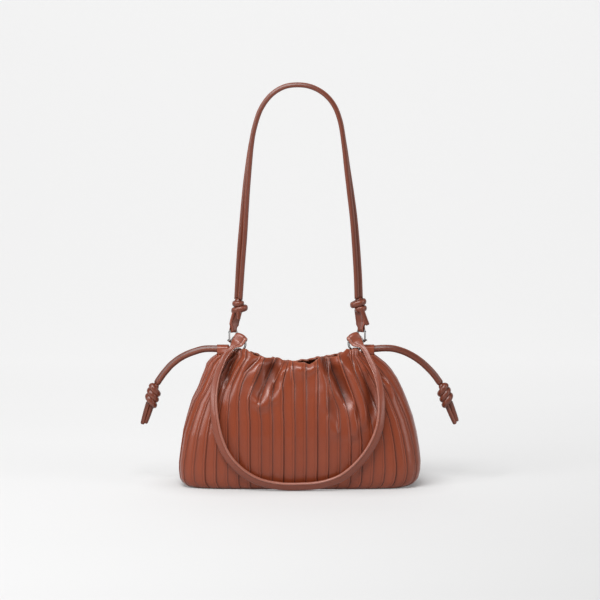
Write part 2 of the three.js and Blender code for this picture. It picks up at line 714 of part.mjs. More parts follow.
// Points of the shoulder strap's route, between its two feet and the place where it hangs.
function strapPoints() {
  const top = HANG_HEIGHT + STRAP_DIAMETER / 2 + GAP;
  return STRAP_ROUTE.map(({ across, rise }) => {
    const side = across < 0 ? 'left' : 'right';
    const centre = ringCentre(side);
    const foot = centre.z + STRAP_FOOT_RISE;
    const x = Math.abs(across) * (centre.x + RINGS[side].foot);
    return new THREE.Vector3(x, 0, foot + rise * (top - foot));
  });
}

// Shoulder strap: two rolled cords that turn about their common route.
function strapCords() {
  const route = new THREE.CatmullRomCurve3(strapPoints());
  const steps = 44;
  return [['front', 1], ['back', -1]].map(([name, sign]) => {
    const points = [];
    for (let i = 0; i <= steps; i++) {
      const share = i / steps;
      const angle = rad(along(STRAP_TURN, 'along', share, 'angle'));
      const tangent = route.getTangentAt(share);
      const out = new THREE.Vector3().crossVectors(BACK, tangent).normalize();
      const away = (STRAP_DIAMETER + GAP) / 2 * sign;
      const p = route.getPointAt(share);
      p.addScaledVector(out, away * Math.cos(angle));
      p.addScaledVector(BACK, -away * Math.sin(angle));
      points.push(p);
    }
    const curve = new THREE.CatmullRomCurve3(points);
    return mesh(`strap_cord_${name}`, tube(curve, STRAP_DIAMETER / 2, 10, steps), ROLLED);
  });
}

// Directions and centre of a clip, which hangs round the wire of its ring.
function clipFrame(side, sign) {
  const across = new THREE.Vector3(sign * Math.cos(rad(CLIP_YAW)), -Math.sin(rad(CLIP_YAW)), 0);
  const normal = across.clone().cross(UP);
  const { centre } = ringPoint(side, sign, RINGS[side].clip);
  const room = CLIP_WIDTH / 2 - CLIP_BAR - RING_WIRE / 2;
  const place = centre.addScaledVector(across, room * CLIP_SHIFT).addScaledVector(UP, CLIP_LIFT);
  return { across, normal, place };
}

function roundedBox(width, height, corner) {
  const x = width / 2 - corner;
  const y = height / 2 - corner;
  const quarter = Math.PI / 2;
  const shape = new THREE.Shape();
  shape.moveTo(x + corner, y);
  shape.absarc(x, y, corner, 0, quarter, false);
  shape.absarc(-x, y, corner, quarter, 2 * quarter, false);
  shape.absarc(-x, -y, corner, 2 * quarter, 3 * quarter, false);
  shape.absarc(x, -y, corner, 3 * quarter, 4 * quarter, false);
  return shape;
}

// Clip: a frame with round corners, open on its outer side, where a lever on a pin closes it.
function clip(side, sign) {
  const { across, normal, place } = clipFrame(side, sign);
  const barX = (CLIP_WIDTH - CLIP_BAR) / 2;
  const gateTop = CLIP_HEIGHT / 2 - CLIP_CORNER + CLIP_BAR / 4;
  const pinZ = -gateTop;
  const frameShape = roundedBox(CLIP_WIDTH, CLIP_HEIGHT, CLIP_CORNER);
  const inner = [CLIP_WIDTH - 2 * CLIP_BAR, CLIP_HEIGHT - 2 * CLIP_BAR, CLIP_CORNER - CLIP_BAR];
  frameShape.holes.push(roundedBox(...inner));
  const cutIn = barX - CLIP_BAR - GAP;
  const cutLow = pinZ - EYE_RADIUS - GAP;
  const cut = new THREE.Shape();
  cut.moveTo(cutIn, cutLow);
  cut.lineTo(CLIP_WIDTH, cutLow);
  cut.lineTo(CLIP_WIDTH, gateTop + GAP);
  cut.lineTo(cutIn, gateTop + GAP);
  cut.closePath();
  const cheekAway = GATE_THICK / 2 + GAP + CHEEK_THICK / 2;
  const cheekShape = new THREE.Shape();
  cheekShape.absarc(barX, pinZ, EYE_RADIUS, 0, Math.PI, false);
  cheekShape.lineTo(barX - EYE_RADIUS, pinZ - 2 * EYE_RADIUS);
  cheekShape.lineTo(barX, pinZ - CHEEK_DROP * EYE_RADIUS);
  cheekShape.closePath();
  const whole = solidOf(plate(frameShape, place, across, UP, CLIP_BAR, 6));
  let frame = whole.subtract(solidOf(plate(cut, place, across, UP, 2 * CLIP_BAR)));
  for (const away of [-cheekAway, cheekAway]) {
    const origin = place.clone().addScaledVector(normal, away);
    frame = frame.add(solidOf(plate(cheekShape, origin, across, UP, CHEEK_THICK)));
  }
  const pinShape = new THREE.Shape();
  pinShape.absarc(barX, pinZ, PIN_RADIUS, 0, 2 * Math.PI, false);
  frame = frame.add(solidOf(plate(pinShape, place, across, UP, 2 * cheekAway + CHEEK_THICK, 6)));
  const half = GATE_WIDTH / 2;
  const gateShape = new THREE.Shape();
  gateShape.moveTo(barX + half, pinZ + half);
  gateShape.lineTo(barX + half, gateTop);
  gateShape.lineTo(barX - half, gateTop);
  gateShape.lineTo(barX - half, pinZ + half);
  gateShape.absarc(barX, pinZ, EYE_RADIUS, Math.PI * 0.75, Math.PI * 1.5, false);
  for (const { out, up } of LEVER) {
    gateShape.lineTo(barX + out * LEVER_LENGTH, pinZ + up * EYE_RADIUS);
  }
  gateShape.closePath();
  gateShape.holes.push(circleHole(barX, pinZ, PIN_RADIUS + PIN_CLEARANCE));
  const gate = plate(gateShape, place, across, UP, GATE_THICK, 6);
  return [
    mesh(`clip_frame_${side}`, geometryOf(frame), SILVER),
    mesh(`clip_gate_${side}`, gate, SILVER),
  ];
}

// Tab under a strap's knot: folded round the top bar of the clip, narrow there and wide above it.
function strapTab(side, sign, tabTop) {
  const { across, normal, place } = clipFrame(side, sign);
  const hole = CLIP_BAR * Math.SQRT1_2 + GAP / 2;
  const outer = hole + TAB_THICK;
  const barTop = place.clone().addScaledVector(UP, (CLIP_HEIGHT - CLIP_BAR) / 2);
  const rise = tabTop.z - barTop.z;
  const narrowTo = outer + TAB_NECK;
  const wideFrom = outer + 2 * TAB_NECK;
  const shape = new THREE.Shape();
  shape.absarc(0, 0, outer, rad(150), rad(390), false);
  for (const height of [narrowTo, wideFrom, rise]) shape.lineTo(TAB_THICK, height);
  for (const height of [rise, wideFrom, narrowTo]) shape.lineTo(-TAB_THICK, height);
  shape.closePath();
  shape.holes.push(circleHole(0, 0, hole));
  const narrow = (CLIP_WIDTH / 2 - CLIP_BAR - GAP) * TAB_NARROW;
  const geometry = plate(shape, barTop, normal, UP, 2);
  const position = geometry.attributes.position;
  const shift = tabTop.clone().sub(barTop);
  const offset = new THREE.Vector3();
  for (let i = 0; i < position.count; i++) {
    offset.fromBufferAttribute(position, i).sub(barTop);
    const share = THREE.MathUtils.clamp((offset.z - narrowTo) / (rise - narrowTo), 0, 1);
    const widening = THREE.MathUtils.clamp((offset.z - narrowTo) / (wideFrom - narrowTo), 0, 1);
    const halfWidth = THREE.MathUtils.lerp(narrow, TAB_WIDTH / 2, widening);
    offset.addScaledVector(across, offset.dot(across) * (halfWidth - 1));
    offset.x += shift.x * share;
    offset.y += shift.y * share;
    offset.add(barTop);
    position.setXYZ(i, offset.x, offset.y, offset.z);
  }
  return mesh(`strap_tab_${side}`, geometry, LEATHER);
}

// Strap end: knot, tab through the clip, and the short tail beside it.
function strapEnd(side, sign) {
  const points = strapPoints();
  if (sign > 0) points.reverse();
  const [top, next] = points;
  const way = top.clone().sub(next).normalize();
  const start = top.clone().addScaledVector(way, 2 * GAP);
  const bottom = start.clone().addScaledVector(way, STRAP_KNOT_LENGTH);
  const neck = STRAP_KNOT_DIAMETER * STRAP_KNOT_NECK;
  const profile = woundProfile(STRAP_KNOT_LENGTH, STRAP_KNOT_DIAMETER / 2, STRAP_KNOT_WRAPS, neck);
  const knot = mesh(`strap_knot_${side}`, turnedBetween(start, bottom, profile, KNOT_SIDES), ROLLED);
  const below = bottom.clone().addScaledVector(way, GAP);
  const tabTop = below.clone().addScaledVector(way, TAB_WIDTH / 2 * Math.abs(way.x));
  const { tail, lean, drop } = RINGS[side];
  const frameAt = (share) => ({
    centre: new THREE.Vector3(
      below.x + tail + share * lean,
      below.y - (STRAP_TAIL_AHEAD + STRAP_TAIL_SPREAD * share) * STRAP_KNOT_DIAMETER,
      below.z - share * drop,
    ),
    wide: new THREE.Vector3(-1, 0, 0).multiplyScalar(1 - STRAP_TAIL_TAPER * share),
    thick: BACK.clone(),
  });
  const strip = bentStrip(roundedStrip(STRAP_DIAMETER, STRAP_DIAMETER * STRAP_TAIL_FLATNESS), 3, frameAt);
  return [knot, strapTab(side, sign, tabTop), mesh(`strap_tail_${side}`, strip, ROLLED)];
}

const purse = new THREE.Group();
purse.position.z = -HANG_HEIGHT;
purse.add(bagBody(), basePanel(), handle(), ...strapCords());
for (const [side, sign] of SIDES) {
  purse.add(channelEnd(side, sign), drawcord(side), ...drawcordKnot(side));
  purse.add(ring(side, sign), ringLoop(side, sign));
  purse.add(...clip(side, sign), ...strapEnd(side, sign));
}

export default purse;
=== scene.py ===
# %% [markdown]
# # A pleated drawstring purse
# The real purse is made of smooth cognac leather: a pleated wall on a flat base, gathered by a drawstring. A
# flat handle hangs in front, and a strap of two rolled cords is clipped to two silver rings. The CAD model
# gives the place of every piece, so this script only has to give each one its real surface.

# %% Load the frame
import math

import bmesh
import bpy
import numpy as np
from mathutils import Matrix, Vector


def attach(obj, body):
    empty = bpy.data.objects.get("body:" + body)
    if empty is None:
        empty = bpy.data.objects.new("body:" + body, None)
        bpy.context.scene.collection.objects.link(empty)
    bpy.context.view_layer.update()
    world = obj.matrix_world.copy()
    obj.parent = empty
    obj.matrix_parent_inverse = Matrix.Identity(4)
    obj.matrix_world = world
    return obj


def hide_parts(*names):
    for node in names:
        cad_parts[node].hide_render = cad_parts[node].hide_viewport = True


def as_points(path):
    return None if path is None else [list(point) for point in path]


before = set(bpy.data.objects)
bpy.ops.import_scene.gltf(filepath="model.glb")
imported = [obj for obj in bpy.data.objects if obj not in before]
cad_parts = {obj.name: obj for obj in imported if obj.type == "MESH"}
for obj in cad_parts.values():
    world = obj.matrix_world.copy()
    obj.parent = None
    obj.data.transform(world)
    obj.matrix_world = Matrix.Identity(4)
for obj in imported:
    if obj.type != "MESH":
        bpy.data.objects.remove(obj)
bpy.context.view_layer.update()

# %% [markdown]
# ## Sizes
# The sizes are those of the CAD model, in millimetres above the floor. One function turns such a point into
# the frame, which has its origin where the strap hangs.

# %% Sizes and places
HANG_HEIGHT = 495.5
SIDE_HEIGHT = 163.5
BODY_WIDTH = 300
BODY_DEPTH = 97
MM = 0.001


def at(x, y, z):
    return Vector((x, y, z - HANG_HEIGHT)) * MM


print("floor at", at(0, 0, 0).z)

# %% [markdown]
# ## Camera
# The photo was taken with a long lens, a little above the purse. A pixel is 1.25 mm at the purse, so the
# frame is 750 mm wide there, and a lens of 120 mm at 2.5 m gives just that.

# %% Camera
PIXEL = 1.25
RISE = math.radians(5.5)
DISTANCE = 2.5
look_at = at(0, 0, (485.2 - 300) * PIXEL)
camera = bpy.data.objects.new("camera", bpy.data.cameras.new("camera"))
bpy.context.scene.collection.objects.link(camera)
camera.location = look_at + DISTANCE * Vector((0, -math.cos(RISE), math.sin(RISE)))
camera.rotation_euler = (math.pi / 2 - RISE, 0, 0)
camera.data.lens = camera.data.sensor_width * DISTANCE / (600 * PIXEL * MM)
camera.data.dof.use_dof = False
bpy.context.scene.camera = camera
print("lens", camera.data.lens)

# %% [markdown]
# ## Shader maths
# A material's sums are easier to read as sums, so one small class wraps a socket, and an expression such as
# `mottle * 0.14 + gloss` adds its Math nodes.


# %% A socket that takes part in sums
class Socket:
    def __init__(self, finish, socket):
        self.finish = finish
        self.socket = socket

    def maths(self, operation, *terms):
        return self.finish.node("ShaderNodeMath", {"operation": operation}, dict(enumerate(terms)))

    def __add__(self, other):
        return self.maths("ADD", self, other)

    def __radd__(self, other):
        return self.maths("ADD", other, self)

    def __sub__(self, other):
        return self.maths("SUBTRACT", self, other)

    def __rsub__(self, other):
        return self.maths("SUBTRACT", other, self)

    def __mul__(self, other):
        return self.maths("MULTIPLY", self, other)

    def __rmul__(self, other):
        return self.maths("MULTIPLY", other, self)

# %% [markdown]
# A finish is a material with its Principled shader. One method adds any node: its settings come first, then
# the values or links of its inputs. The others are short names for the nodes that every finish needs.


# %% A finish and its nodes
class Finish:
    def __init__(self, name):
        self.material = bpy.data.materials.new(name)
        self.material.use_nodes = True
        self.tree = self.material.node_tree
        self.shader = self.tree.nodes["Principled BSDF"]

    def feed(self, socket, value):
        if isinstance(value, Socket):
            self.tree.links.new(value.socket, socket)
        else:
            socket.default_value = value

    def node(self, kind, settings=None, inputs=None, output=0):
        node = self.tree.nodes.new(kind)
        for key, value in (settings or {}).items():
            if key == "stops":
                ramp = node.color_ramp.elements
                for place, grey in value[1:-1]:
                    ramp.new(place)
                for stop, (place, grey) in zip(ramp, value):
                    stop.position = place
                    stop.color = (grey, grey, grey, 1)
            else:
                setattr(node, key, value)
        for key, value in (inputs or {}).items():
            self.feed(node.inputs[key], value)
        return Socket(self, node.outputs[output])

    def mix(self, factor, first, second):
        return self.node("ShaderNodeMix", {"data_type": "RGBA"}, {0: factor, 6: first, 7: second}, 2)

    def noise(self, place, scale, detail=2.0):
        return self.node("ShaderNodeTexNoise", {}, {"Vector": place, "Scale": scale, "Detail": detail})

    def attribute(self, name):
        return self.node("ShaderNodeAttribute", {"attribute_name": name}, {}, 2)

    def part(self, vector, axis):
        return self.node("ShaderNodeSeparateXYZ", {}, {0: vector}, axis)

    def bump(self, height, strength, distance, normal=None):
        inputs = {"Height": height, "Strength": strength, "Distance": distance}
        if normal is not None:
            inputs["Normal"] = normal
        return self.node("ShaderNodeBump", {}, inputs)

    def shade(self, **inputs):
        for name, value in inputs.items():
            self.feed(self.shader.inputs[name.replace("_", " ")], value)


print("shader helpers ready")

# %% [markdown]
# ## Leather
# The leather is smooth, with a half-gloss coat over a very fine grain. Painted shade darkens it in seams,
# grooves and hollows, and a painted highlight with some wear lightens edges, where two attributes of the mesh
# say. The grain is a fine Voronoi pattern with a soft noise, both on Object coordinates, so it keeps its real
# size on every piece.


# %% Leather finish
def leather(name, colour, dark, light, gloss=0.37, grain=0.10):
    finish = Finish(name)
    place = finish.node("ShaderNodeTexCoord", {}, {}, 3)
    clouds = finish.noise(place, 14.0, 3.0)
    mottle = finish.noise(place, 90.0, 2.0)
    crease = finish.attribute("crease")
    rub = finish.attribute("rub")
    tone = finish.mix(clouds * 0.5 + mottle * 0.2, colour, dark)
    # Painted shade: the tone goes to a third of the dark colour where the mesh marks seams, grooves and
    # hollows.
    tone = finish.mix(crease, tone, [c * 0.32 for c in dark[:3]] + [1])
    # Painted highlight with some wear: the tone goes to the light colour where the mesh marks lit and rubbed
    # edges.
    tone = finish.mix(rub, tone, light)
    cells = finish.node("ShaderNodeTexVoronoi", {}, {"Vector": place, "Scale": 900.0})
    wrinkles = finish.noise(place, 260.0, 3.0)
    fine = finish.bump(cells * 0.6 + wrinkles, grain, 0.0002)
    soft = finish.bump(clouds + mottle * 0.3, 0.10, 0.004, fine)
    finish.shade(Base_Color=tone, Roughness=mottle * 0.14 + gloss - 0.07 + crease * 0.2, Normal=soft)
    finish.shade(Coat_Weight=0.26, Coat_Roughness=0.25, Specular_IOR_Level=0.38)
    return finish


COGNAC = (0.242, 0.0455, 0.0138, 1)
COGNAC_DARK = (0.160, 0.025, 0.0075, 1)
COGNAC_LIGHT = (0.40, 0.135, 0.080, 1)
wall_leather = leather("wall leather", COGNAC, COGNAC_DARK, COGNAC_LIGHT)
cord_leather = leather("rolled leather", (0.150, 0.034, 0.015, 1), (0.100, 0.021, 0.010, 1), COGNAC_LIGHT, 0.36)
strap_leather = leather("handle leather", (0.225, 0.053, 0.026, 1), (0.17, 0.037, 0.018, 1), COGNAC_LIGHT, 0.38)
PAINT, PAINT_DARK, PAINT_LIGHT = (0.32, 0.115, 0.080, 1), (0.25, 0.085, 0.055, 1), (0.45, 0.22, 0.17, 1)
edge_paint = leather("painted edge", PAINT, PAINT_DARK, PAINT_LIGHT, 0.30, 0.05)
print("leather finishes:", [f.material.name for f in (wall_leather, cord_leather, strap_leather, edge_paint)])

# %% [markdown]
# ## Lining and metal
# The inside of the wall is the leather's brushed flesh side, matt and a little fibrous. The rings and clips
# are polished silver metal, with the fine rubbing marks that such parts soon get.


# %% Lining finish and silver finish
def lining():
    finish = Finish("lining")
    place = finish.node("ShaderNodeTexCoord", {}, {}, 3)
    fibres = finish.noise(place, 700.0, 4.0)
    nap = finish.noise(place, 40.0, 2.0)
    tone = finish.mix(fibres * 0.5 + nap * 0.4, (0.20, 0.085, 0.05, 1), (0.12, 0.045, 0.028, 1))
    finish.shade(Base_Color=tone, Roughness=nap * 0.15 + 0.8, Normal=finish.bump(fibres, 0.35, 0.0003))
    return finish


def silver():
    finish = Finish("silver")
    place = finish.node("ShaderNodeTexCoord", {}, {}, 3)
    rubbing = finish.noise(place, 900.0, 2.0)
    smudges = finish.noise(place, 120.0, 2.0)
    tone = finish.mix(smudges, (0.46, 0.455, 0.45, 1), (0.34, 0.335, 0.33, 1))
    finish.shade(Base_Color=tone, Metallic=1.0, Roughness=smudges * 0.16 + 0.12)
    finish.shade(Normal=finish.bump(rubbing, 0.06, 0.0001))
    return finish


lining_finish = lining()
silver_finish = silver()
print("lining and silver ready")

# %% [markdown]
# ## A helper for wrapped surfaces
# Walls, cords, straps and knots are all sheets that close on themselves. A grid has just the rows and
# columns such a sheet needs: its vertices are moved to their places, its two long edges are merged, and its
# ends are filled if the piece is solid. `marks` gives the painted shade and the painted highlight with wear of
# each vertex, and `paint` the finish of each face. Every piece of the purse that shows is then named as
# standing for its CAD nodes.


# %% Wrap a grid into a piece
def wrap(name, columns, rows, place, finishes, marks=None, ends=True, paint=None):
    bm = bmesh.new()
    bm.loops.layers.uv.new("UVMap")
    bmesh.ops.create_grid(bm, x_segments=columns, y_segments=rows, size=1, calc_uvs=True)
    layers = {key: bm.verts.layers.float.new(key) for key in ("crease", "rub")}
    cells = {v: (round((v.co.x + 1) / 2 * columns), round((v.co.y + 1) / 2 * rows)) for v in bm.verts}
    for face in bm.faces:
        if paint:
            corner = [min(cells[v][k] for v in face.verts) for k in (0, 1)]
            face.material_index = paint(*corner)
    for v, (i, j) in cells.items():
        v.co = place(i % columns, j)
        if marks:
            v[layers["crease"]], v[layers["rub"]] = marks(i % columns, j)
    bmesh.ops.remove_doubles(bm, verts=bm.verts, dist=1e-7)
    if ends:
        bmesh.ops.holes_fill(bm, edges=[e for e in bm.edges if e.is_boundary], sides=0)
    bmesh.ops.recalc_face_normals(bm, faces=bm.faces)
    return finished(name, bm, finishes)


def finished(name, bm, finishes):
    mesh = bpy.data.meshes.new(name)
    bm.to_mesh(mesh)
    bm.free()
    for finish in finishes:
        mesh.materials.append(finish.material)
    mesh.shade_smooth()
    piece = bpy.data.objects.new(name, mesh)
    bpy.context.scene.collection.objects.link(piece)
    return piece


def stands_for(piece, slot, *nodes):
    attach(piece, "purse")
    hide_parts(*nodes)
    print(piece.name, "stands for", ", ".join(nodes), "with", len(piece.data.polygons), "faces")


# %% [markdown]
# ## Lines for cords and straps
# A cord follows one smooth line. The line is given by a few points and filled in with centripetal
# Catmull-Rom curves, then cut into equal steps, so that the surface's rows are even.


# %% Smooth lines and frames
def smooth_line(points, steps):
    points = [2 * points[0] - points[1]] + list(points) + [2 * points[-1] - points[-2]]
    fine = []
    for a, b, c, d in zip(points, points[1:], points[2:], points[3:]):
        t1 = (b - a).length ** 0.5
        t2 = t1 + (c - b).length ** 0.5
        t3 = t2 + (d - c).length ** 0.5
        for k in range(12):
            t = t1 + (t2 - t1) * k / 12
            p, q = a + (b - a) * t / t1, b + (c - b) * (t - t1) / (t2 - t1)
            r = c + (d - c) * (t - t2) / (t3 - t2)
            u, v = p + (q - p) * t / t2, q + (r - q) * (t - t1) / (t3 - t1)
            fine.append(u + (v - u) * (t - t1) / (t2 - t1))
    fine.append(points[-2].copy())
    run = [0.0]
    for a, b in zip(fine, fine[1:]):
        run.append(run[-1] + (b - a).length)
    line = []
    for k in range(steps + 1):
        goal = run[-1] * k / steps
        i = max(0, min(int(np.searchsorted(run, goal)) - 1, len(fine) - 2))
        share = (goal - run[i]) / (run[i + 1] - run[i])
        line.append(fine[i].lerp(fine[i + 1], share))
    return line


def tangents(line):
    return [(line[min(k + 1, len(line) - 1)] - line[max(k - 1, 0)]).normalized() for k in range(len(line))]


def frames(line, hint):
    """Centre, side and front of each section. The front stays near the hinted direction."""
    out = []
    for centre, ahead in zip(line, tangents(line)):
        front = (hint - ahead * hint.dot(ahead)).normalized()
        out.append((centre, front.cross(ahead), front))
    return out


FRONT = Vector((0, -1, 0))
BACK = Vector((0, 1, 0))
UP = Vector((0, 0, 1))
print("front is", FRONT[:], "and up is", UP[:])

# %% [markdown]
# ## Rolled cord
# The cords are strips of leather rolled round a core and closed by a seam that runs along them. A section is
# a circle with a narrow groove for each seam line; the ends are rounded over. The leather wrinkles slightly
# across the cord, which a faint ripple along it gives.


# %% Rolled cord helper
GROOVE_WIDTH = 0.24  # radians
GROOVE_DEPTH = 0.10  # share of the radius
END_SIZE = 0.72  # share of the radius at the two ends


def ripple(k, j):
    return 0.5 * math.sin(2.1 * j + 1.7 * math.sin(0.9 * j + k)) * math.sin(0.37 * j)


def rolled_cord(name, line, radius, seams, sides=20, hint=FRONT, round_ends=True, flat=1.0, sizes=None):
    """A closed cord along a line. Seams are angles round it, and sizes shrinks it along its length."""
    sections = frames(line, hint)
    rows = len(line) - 1

    def groove(i):
        angle = 2 * math.pi * i / sides
        gaps = [abs((angle - seam + math.pi) % (2 * math.pi) - math.pi) for seam in seams]
        return sum(math.exp(-(gap / GROOVE_WIDTH) ** 2) for gap in gaps)

    def place(i, j):
        centre, side, front = sections[j]
        angle = 2 * math.pi * i / sides
        size = sizes(j / rows) if sizes else 1.0
        reach = radius * size * (1 - GROOVE_DEPTH * groove(i) + 0.010 * ripple(i * 0.3, j))
        if round_ends and j in (0, rows):
            reach *= END_SIZE
        return centre + side * (reach * math.cos(angle)) + front * (reach * flat * math.sin(angle))

    def marks(i, j):
        # Painted shade in the seam grooves and wrinkles, and a painted highlight just beside each groove.
        dark = 0.55 * groove(i) + 0.08 * abs(ripple(i * 0.3, j))
        rub = 0.25 * max(0.0, groove(i + 2) - groove(i))
        return dark, rub

    return wrap(name, sides, rows, place, [cord_leather], marks)


# %% [markdown]
# ## Drawstring
# Each end of the drawstring leaves its channel sideways, bends over and down under its own weight, and ends
# in a barrel knot. The photo shows both from end to end, so that is their length.

# %% Routes of the drawstring
CORD_DIAMETER = 8.7
DRAWCORD = {
    "left": [
        (-93, 170.1), (-98.5, 170.1), (-103.9, 170.1), (-111.5, 170.3), (-119, 170), (-125.8, 168.7),
        (-132.4, 166.6), (-139.8, 163.9), (-146.9, 160.5), (-152.7, 156.9), (-158, 152.8),
        (-162.8, 148.5), (-167, 143.8), (-171.1, 138.9), (-174.8, 133.8), (-177.7, 129.5), (-180, 125.4),
    ],
    "right": [
        (82, 170.1), (88, 170.1), (94.5, 170.2), (102, 170.8), (110, 170.9), (117.4, 170.2), (124.5, 168.4),
        (131.4, 166.0), (138, 162.8), (144.4, 159.1), (150.3, 154.9), (155.5, 150.6), (160.3, 146),
        (165, 141.1), (169.3, 136), (173.2, 130.6), (176.6, 125.6),
    ],
}
TAIL_END = {"left": (-195.9, 76.5), "right": (196, 77.4)}
print("points of each route:", [len(route) for route in DRAWCORD.values()])

# %% [markdown]
# Each cord is one closed piece along its route. Its two seam lines lie on the front, where the photo has them.


# %% Drawstring cords
def drawcord(side):
    line = smooth_line([at(x, 0, z) for x, z in DRAWCORD[side]], 54)
    seam = 2.1 if side == "left" else 1.0
    piece = rolled_cord(f"drawstring_{side}", line, CORD_DIAMETER / 2 * MM, (seam, seam + 2.3), 24)
    stands_for(piece, "rolled_leather", f"drawcord_{side}")
    return piece, line


drawcords = {side: drawcord(side) for side in ("left", "right")}

# %% [markdown]
# ## Barrel knots
# A barrel knot is the cord's own end wound round it and pulled tight. Seen from the front, three turns lie
# aslant, so they are made as a helix of rolled cord that is tilted to one side. A plain core fills its inside,
# and the two are joined as one piece.


# %% Knot helpers
def coil(start, end, reach, turns, first, steps, tilt):
    axis = (end - start).normalized()
    side = axis.cross(FRONT).normalized()
    front = side.cross(axis)
    points = []
    for k in range(steps + 1):
        share = k / steps
        angle = first + 2 * math.pi * turns * share
        out = side * math.cos(angle) + front * math.sin(angle) + axis * (tilt * math.cos(angle))
        points.append(start.lerp(end, share) + out * reach)
    return points


def joined(name, pieces):
    """Makes several meshes one object, as parts of one piece."""
    bm = bmesh.new()
    for piece in pieces:
        bm.from_mesh(piece.data)
    for piece in pieces:
        bpy.data.objects.remove(piece)
    return finished(name, bm, [cord_leather])


print("knot helpers ready")

# %% [markdown]
# The knot starts where the cord's route ends and points at the end of the tail. Its turns start and end
# inside the knot's length, so that no cut end of the winding shows above or below it.

# %% Knots of the drawstring
KNOT_LENGTH = 28
KNOT_DIAMETER = 16.5
KNOT_BULGE = 2
KNOT_CORD = 8.6
KNOT_TURNS = 2.6
KNOT_TILT = 0.5
KNOT_START = {"left": 0.2, "right": 2.9}  # radians


def knot_axis(side):
    (bx, bz), (lx, lz) = DRAWCORD[side][-2:]
    last, before = at(lx, 0, lz), at(bx, 0, bz)
    far = at(TAIL_END[side][0], 0, TAIL_END[side][1])
    way = (last - before).normalized()
    start = last + way * ((0.3 + KNOT_DIAMETER * 0.3 * math.tan(way.angle(far - last))) * MM)
    return start, (far - start).normalized()


def drawcord_knot(side):
    start, axis = knot_axis(side)
    cord = KNOT_CORD * MM
    reach = (KNOT_DIAMETER + KNOT_BULGE) / 2 * MM - cord / 2
    top = start + axis * (cord * 0.5 - 0.3 * MM)
    bottom = start + axis * (KNOT_LENGTH * MM - cord * 0.5)
    sense = 1 if side == "left" else -1
    winding = coil(top, bottom, reach, sense * KNOT_TURNS, KNOT_START[side], 88, -sense * KNOT_TILT)
    turn = rolled_cord("winding", winding, cord / 2, (1.3,), 16, axis)
    above = start - axis * (2 * MM)
    core = rolled_cord("core", [above.lerp(bottom, k / 6) for k in range(7)], reach * 0.87, (), 16)
    knot = joined(f"drawstring_knot_{side}", [turn, core])
    stands_for(knot, "rolled_leather", f"drawcord_knot_{side}")
    return knot


drawcord_knots = {side: drawcord_knot(side) for side in ("left", "right")}

# %% [markdown]
# Below the knot the cord's two strands hang side by side, a little flattened, and taper to their cut ends.

# %% Tails of the drawstring
TAIL_LENGTH = 24
TAIL_OVERLAP = 5
STRAND = 2.9


def drawcord_tail(side):
    start, axis = knot_axis(side)
    top = start + axis * ((KNOT_LENGTH - TAIL_OVERLAP) * MM)
    across = axis.cross(FRONT).normalized()
    strands = []
    for sign in (-1, 1):
        points = []
        for share in (0, 0.25, 0.5, 0.75, 1.0):
            down = axis * (share * (TAIL_LENGTH + 4.5 + sign) * MM)
            apart = (2.6 - 0.9 * share + 0.3 * math.sin(math.pi * share)) * sign
            depth = 0.6 * sign * math.sin(2.5 * share)
            points.append(top + down + across * (apart * MM) + FRONT * (depth * MM))
        line, seams = smooth_line(points, 22), (1.2 + 0.8 * sign,)
        strand = rolled_cord("strand", line, STRAND * MM, seams, 16, flat=0.95, sizes=lambda s: 1.06 - 0.16 * s)
        strands.append(strand)
    tail = joined(f"drawstring_tail_{side}", strands)
    stands_for(tail, "rolled_leather", f"drawcord_tail_{side}")
    return tail


drawcord_tails = {side: drawcord_tail(side) for side in ("left", "right")}

EXIT = {"left": at(-103.9, 0, 170.1), "right": at(93, 0, 170.2)}
for side, (piece, line) in drawcords.items():
    length = sum((b - a).length for a, b in zip(line, line[1:]))
    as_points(line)
    print("drawstring", side, "is", round(length * 1000), "mm long")

# %% [markdown]
# ## Pleated wall
# The wall is one long strip of leather, sewn into 52 pleats and then gathered at the mouth. Cloth simulation
# would lose the crisp pleats, so the wall is sculpted from tables instead: an outline that says how wide and
# deep the purse is at each height, a rim, the folds of the mouth, and the profile of one pleat.

# %% Tables of the wall
# height, left, right, depth, square: shares of the side's height, half the width and half the depth
OUTLINE = np.array([
    (0, 0.933, 0.893, 0.9, 5), (0.025, 0.973, 0.95, 0.945, 5), (0.062, 0.993, 0.98, 0.975, 5),
    (0.123, 1, 0.997, 1, 4.8), (0.185, 1, 1, 1, 4.6), (0.284, 0.987, 0.987, 0.99, 4.4),
    (0.407, 0.969, 0.963, 0.965, 4.1), (0.531, 0.933, 0.93, 0.915, 3.8), (0.654, 0.893, 0.883, 0.84, 3.4),
    (0.735, 0.851, 0.85, 0.775, 3.1), (0.815, 0.82, 0.81, 0.7, 2.8), (0.889, 0.787, 0.757, 0.62, 2.6),
    (0.932, 0.773, 0.715, 0.56, 2.4), (0.969, 0.74, 0.665, 0.505, 2.3), (1, 0.693, 0.62, 0.465, 2.2),
    (1.09, 0.693, 0.62, 0.44, 2.2),
])
# turn, height: round the wall from the left side by the front, and a share of the side's height
RIM = np.array([
    (0, 1), (0.046, 1), (0.06, 1.022), (0.08, 1.048), (0.11, 1.052), (0.128, 1.02), (0.146, 0.999),
    (0.163, 0.991), (0.188, 0.983), (0.21, 0.981), (0.225, 0.964), (0.235, 0.969), (0.256, 0.963),
    (0.267, 0.957), (0.288, 0.946), (0.304, 0.963), (0.317, 0.99), (0.331, 0.994), (0.346, 0.982),
    (0.358, 1), (0.379, 1.02), (0.395, 1.05), (0.43, 1.05), (0.446, 1.022), (0.458, 1), (0.542, 1),
    (0.556, 1.012), (0.64, 0.988), (0.69, 0.96), (0.73, 0.942), (0.75, 0.938), (0.765, 0.926),
    (0.785, 0.928), (0.8, 0.944), (0.815, 0.962), (0.83, 0.954), (0.85, 0.974), (0.87, 1), (0.942, 1.016),
    (0.956, 1), (1, 1),
])
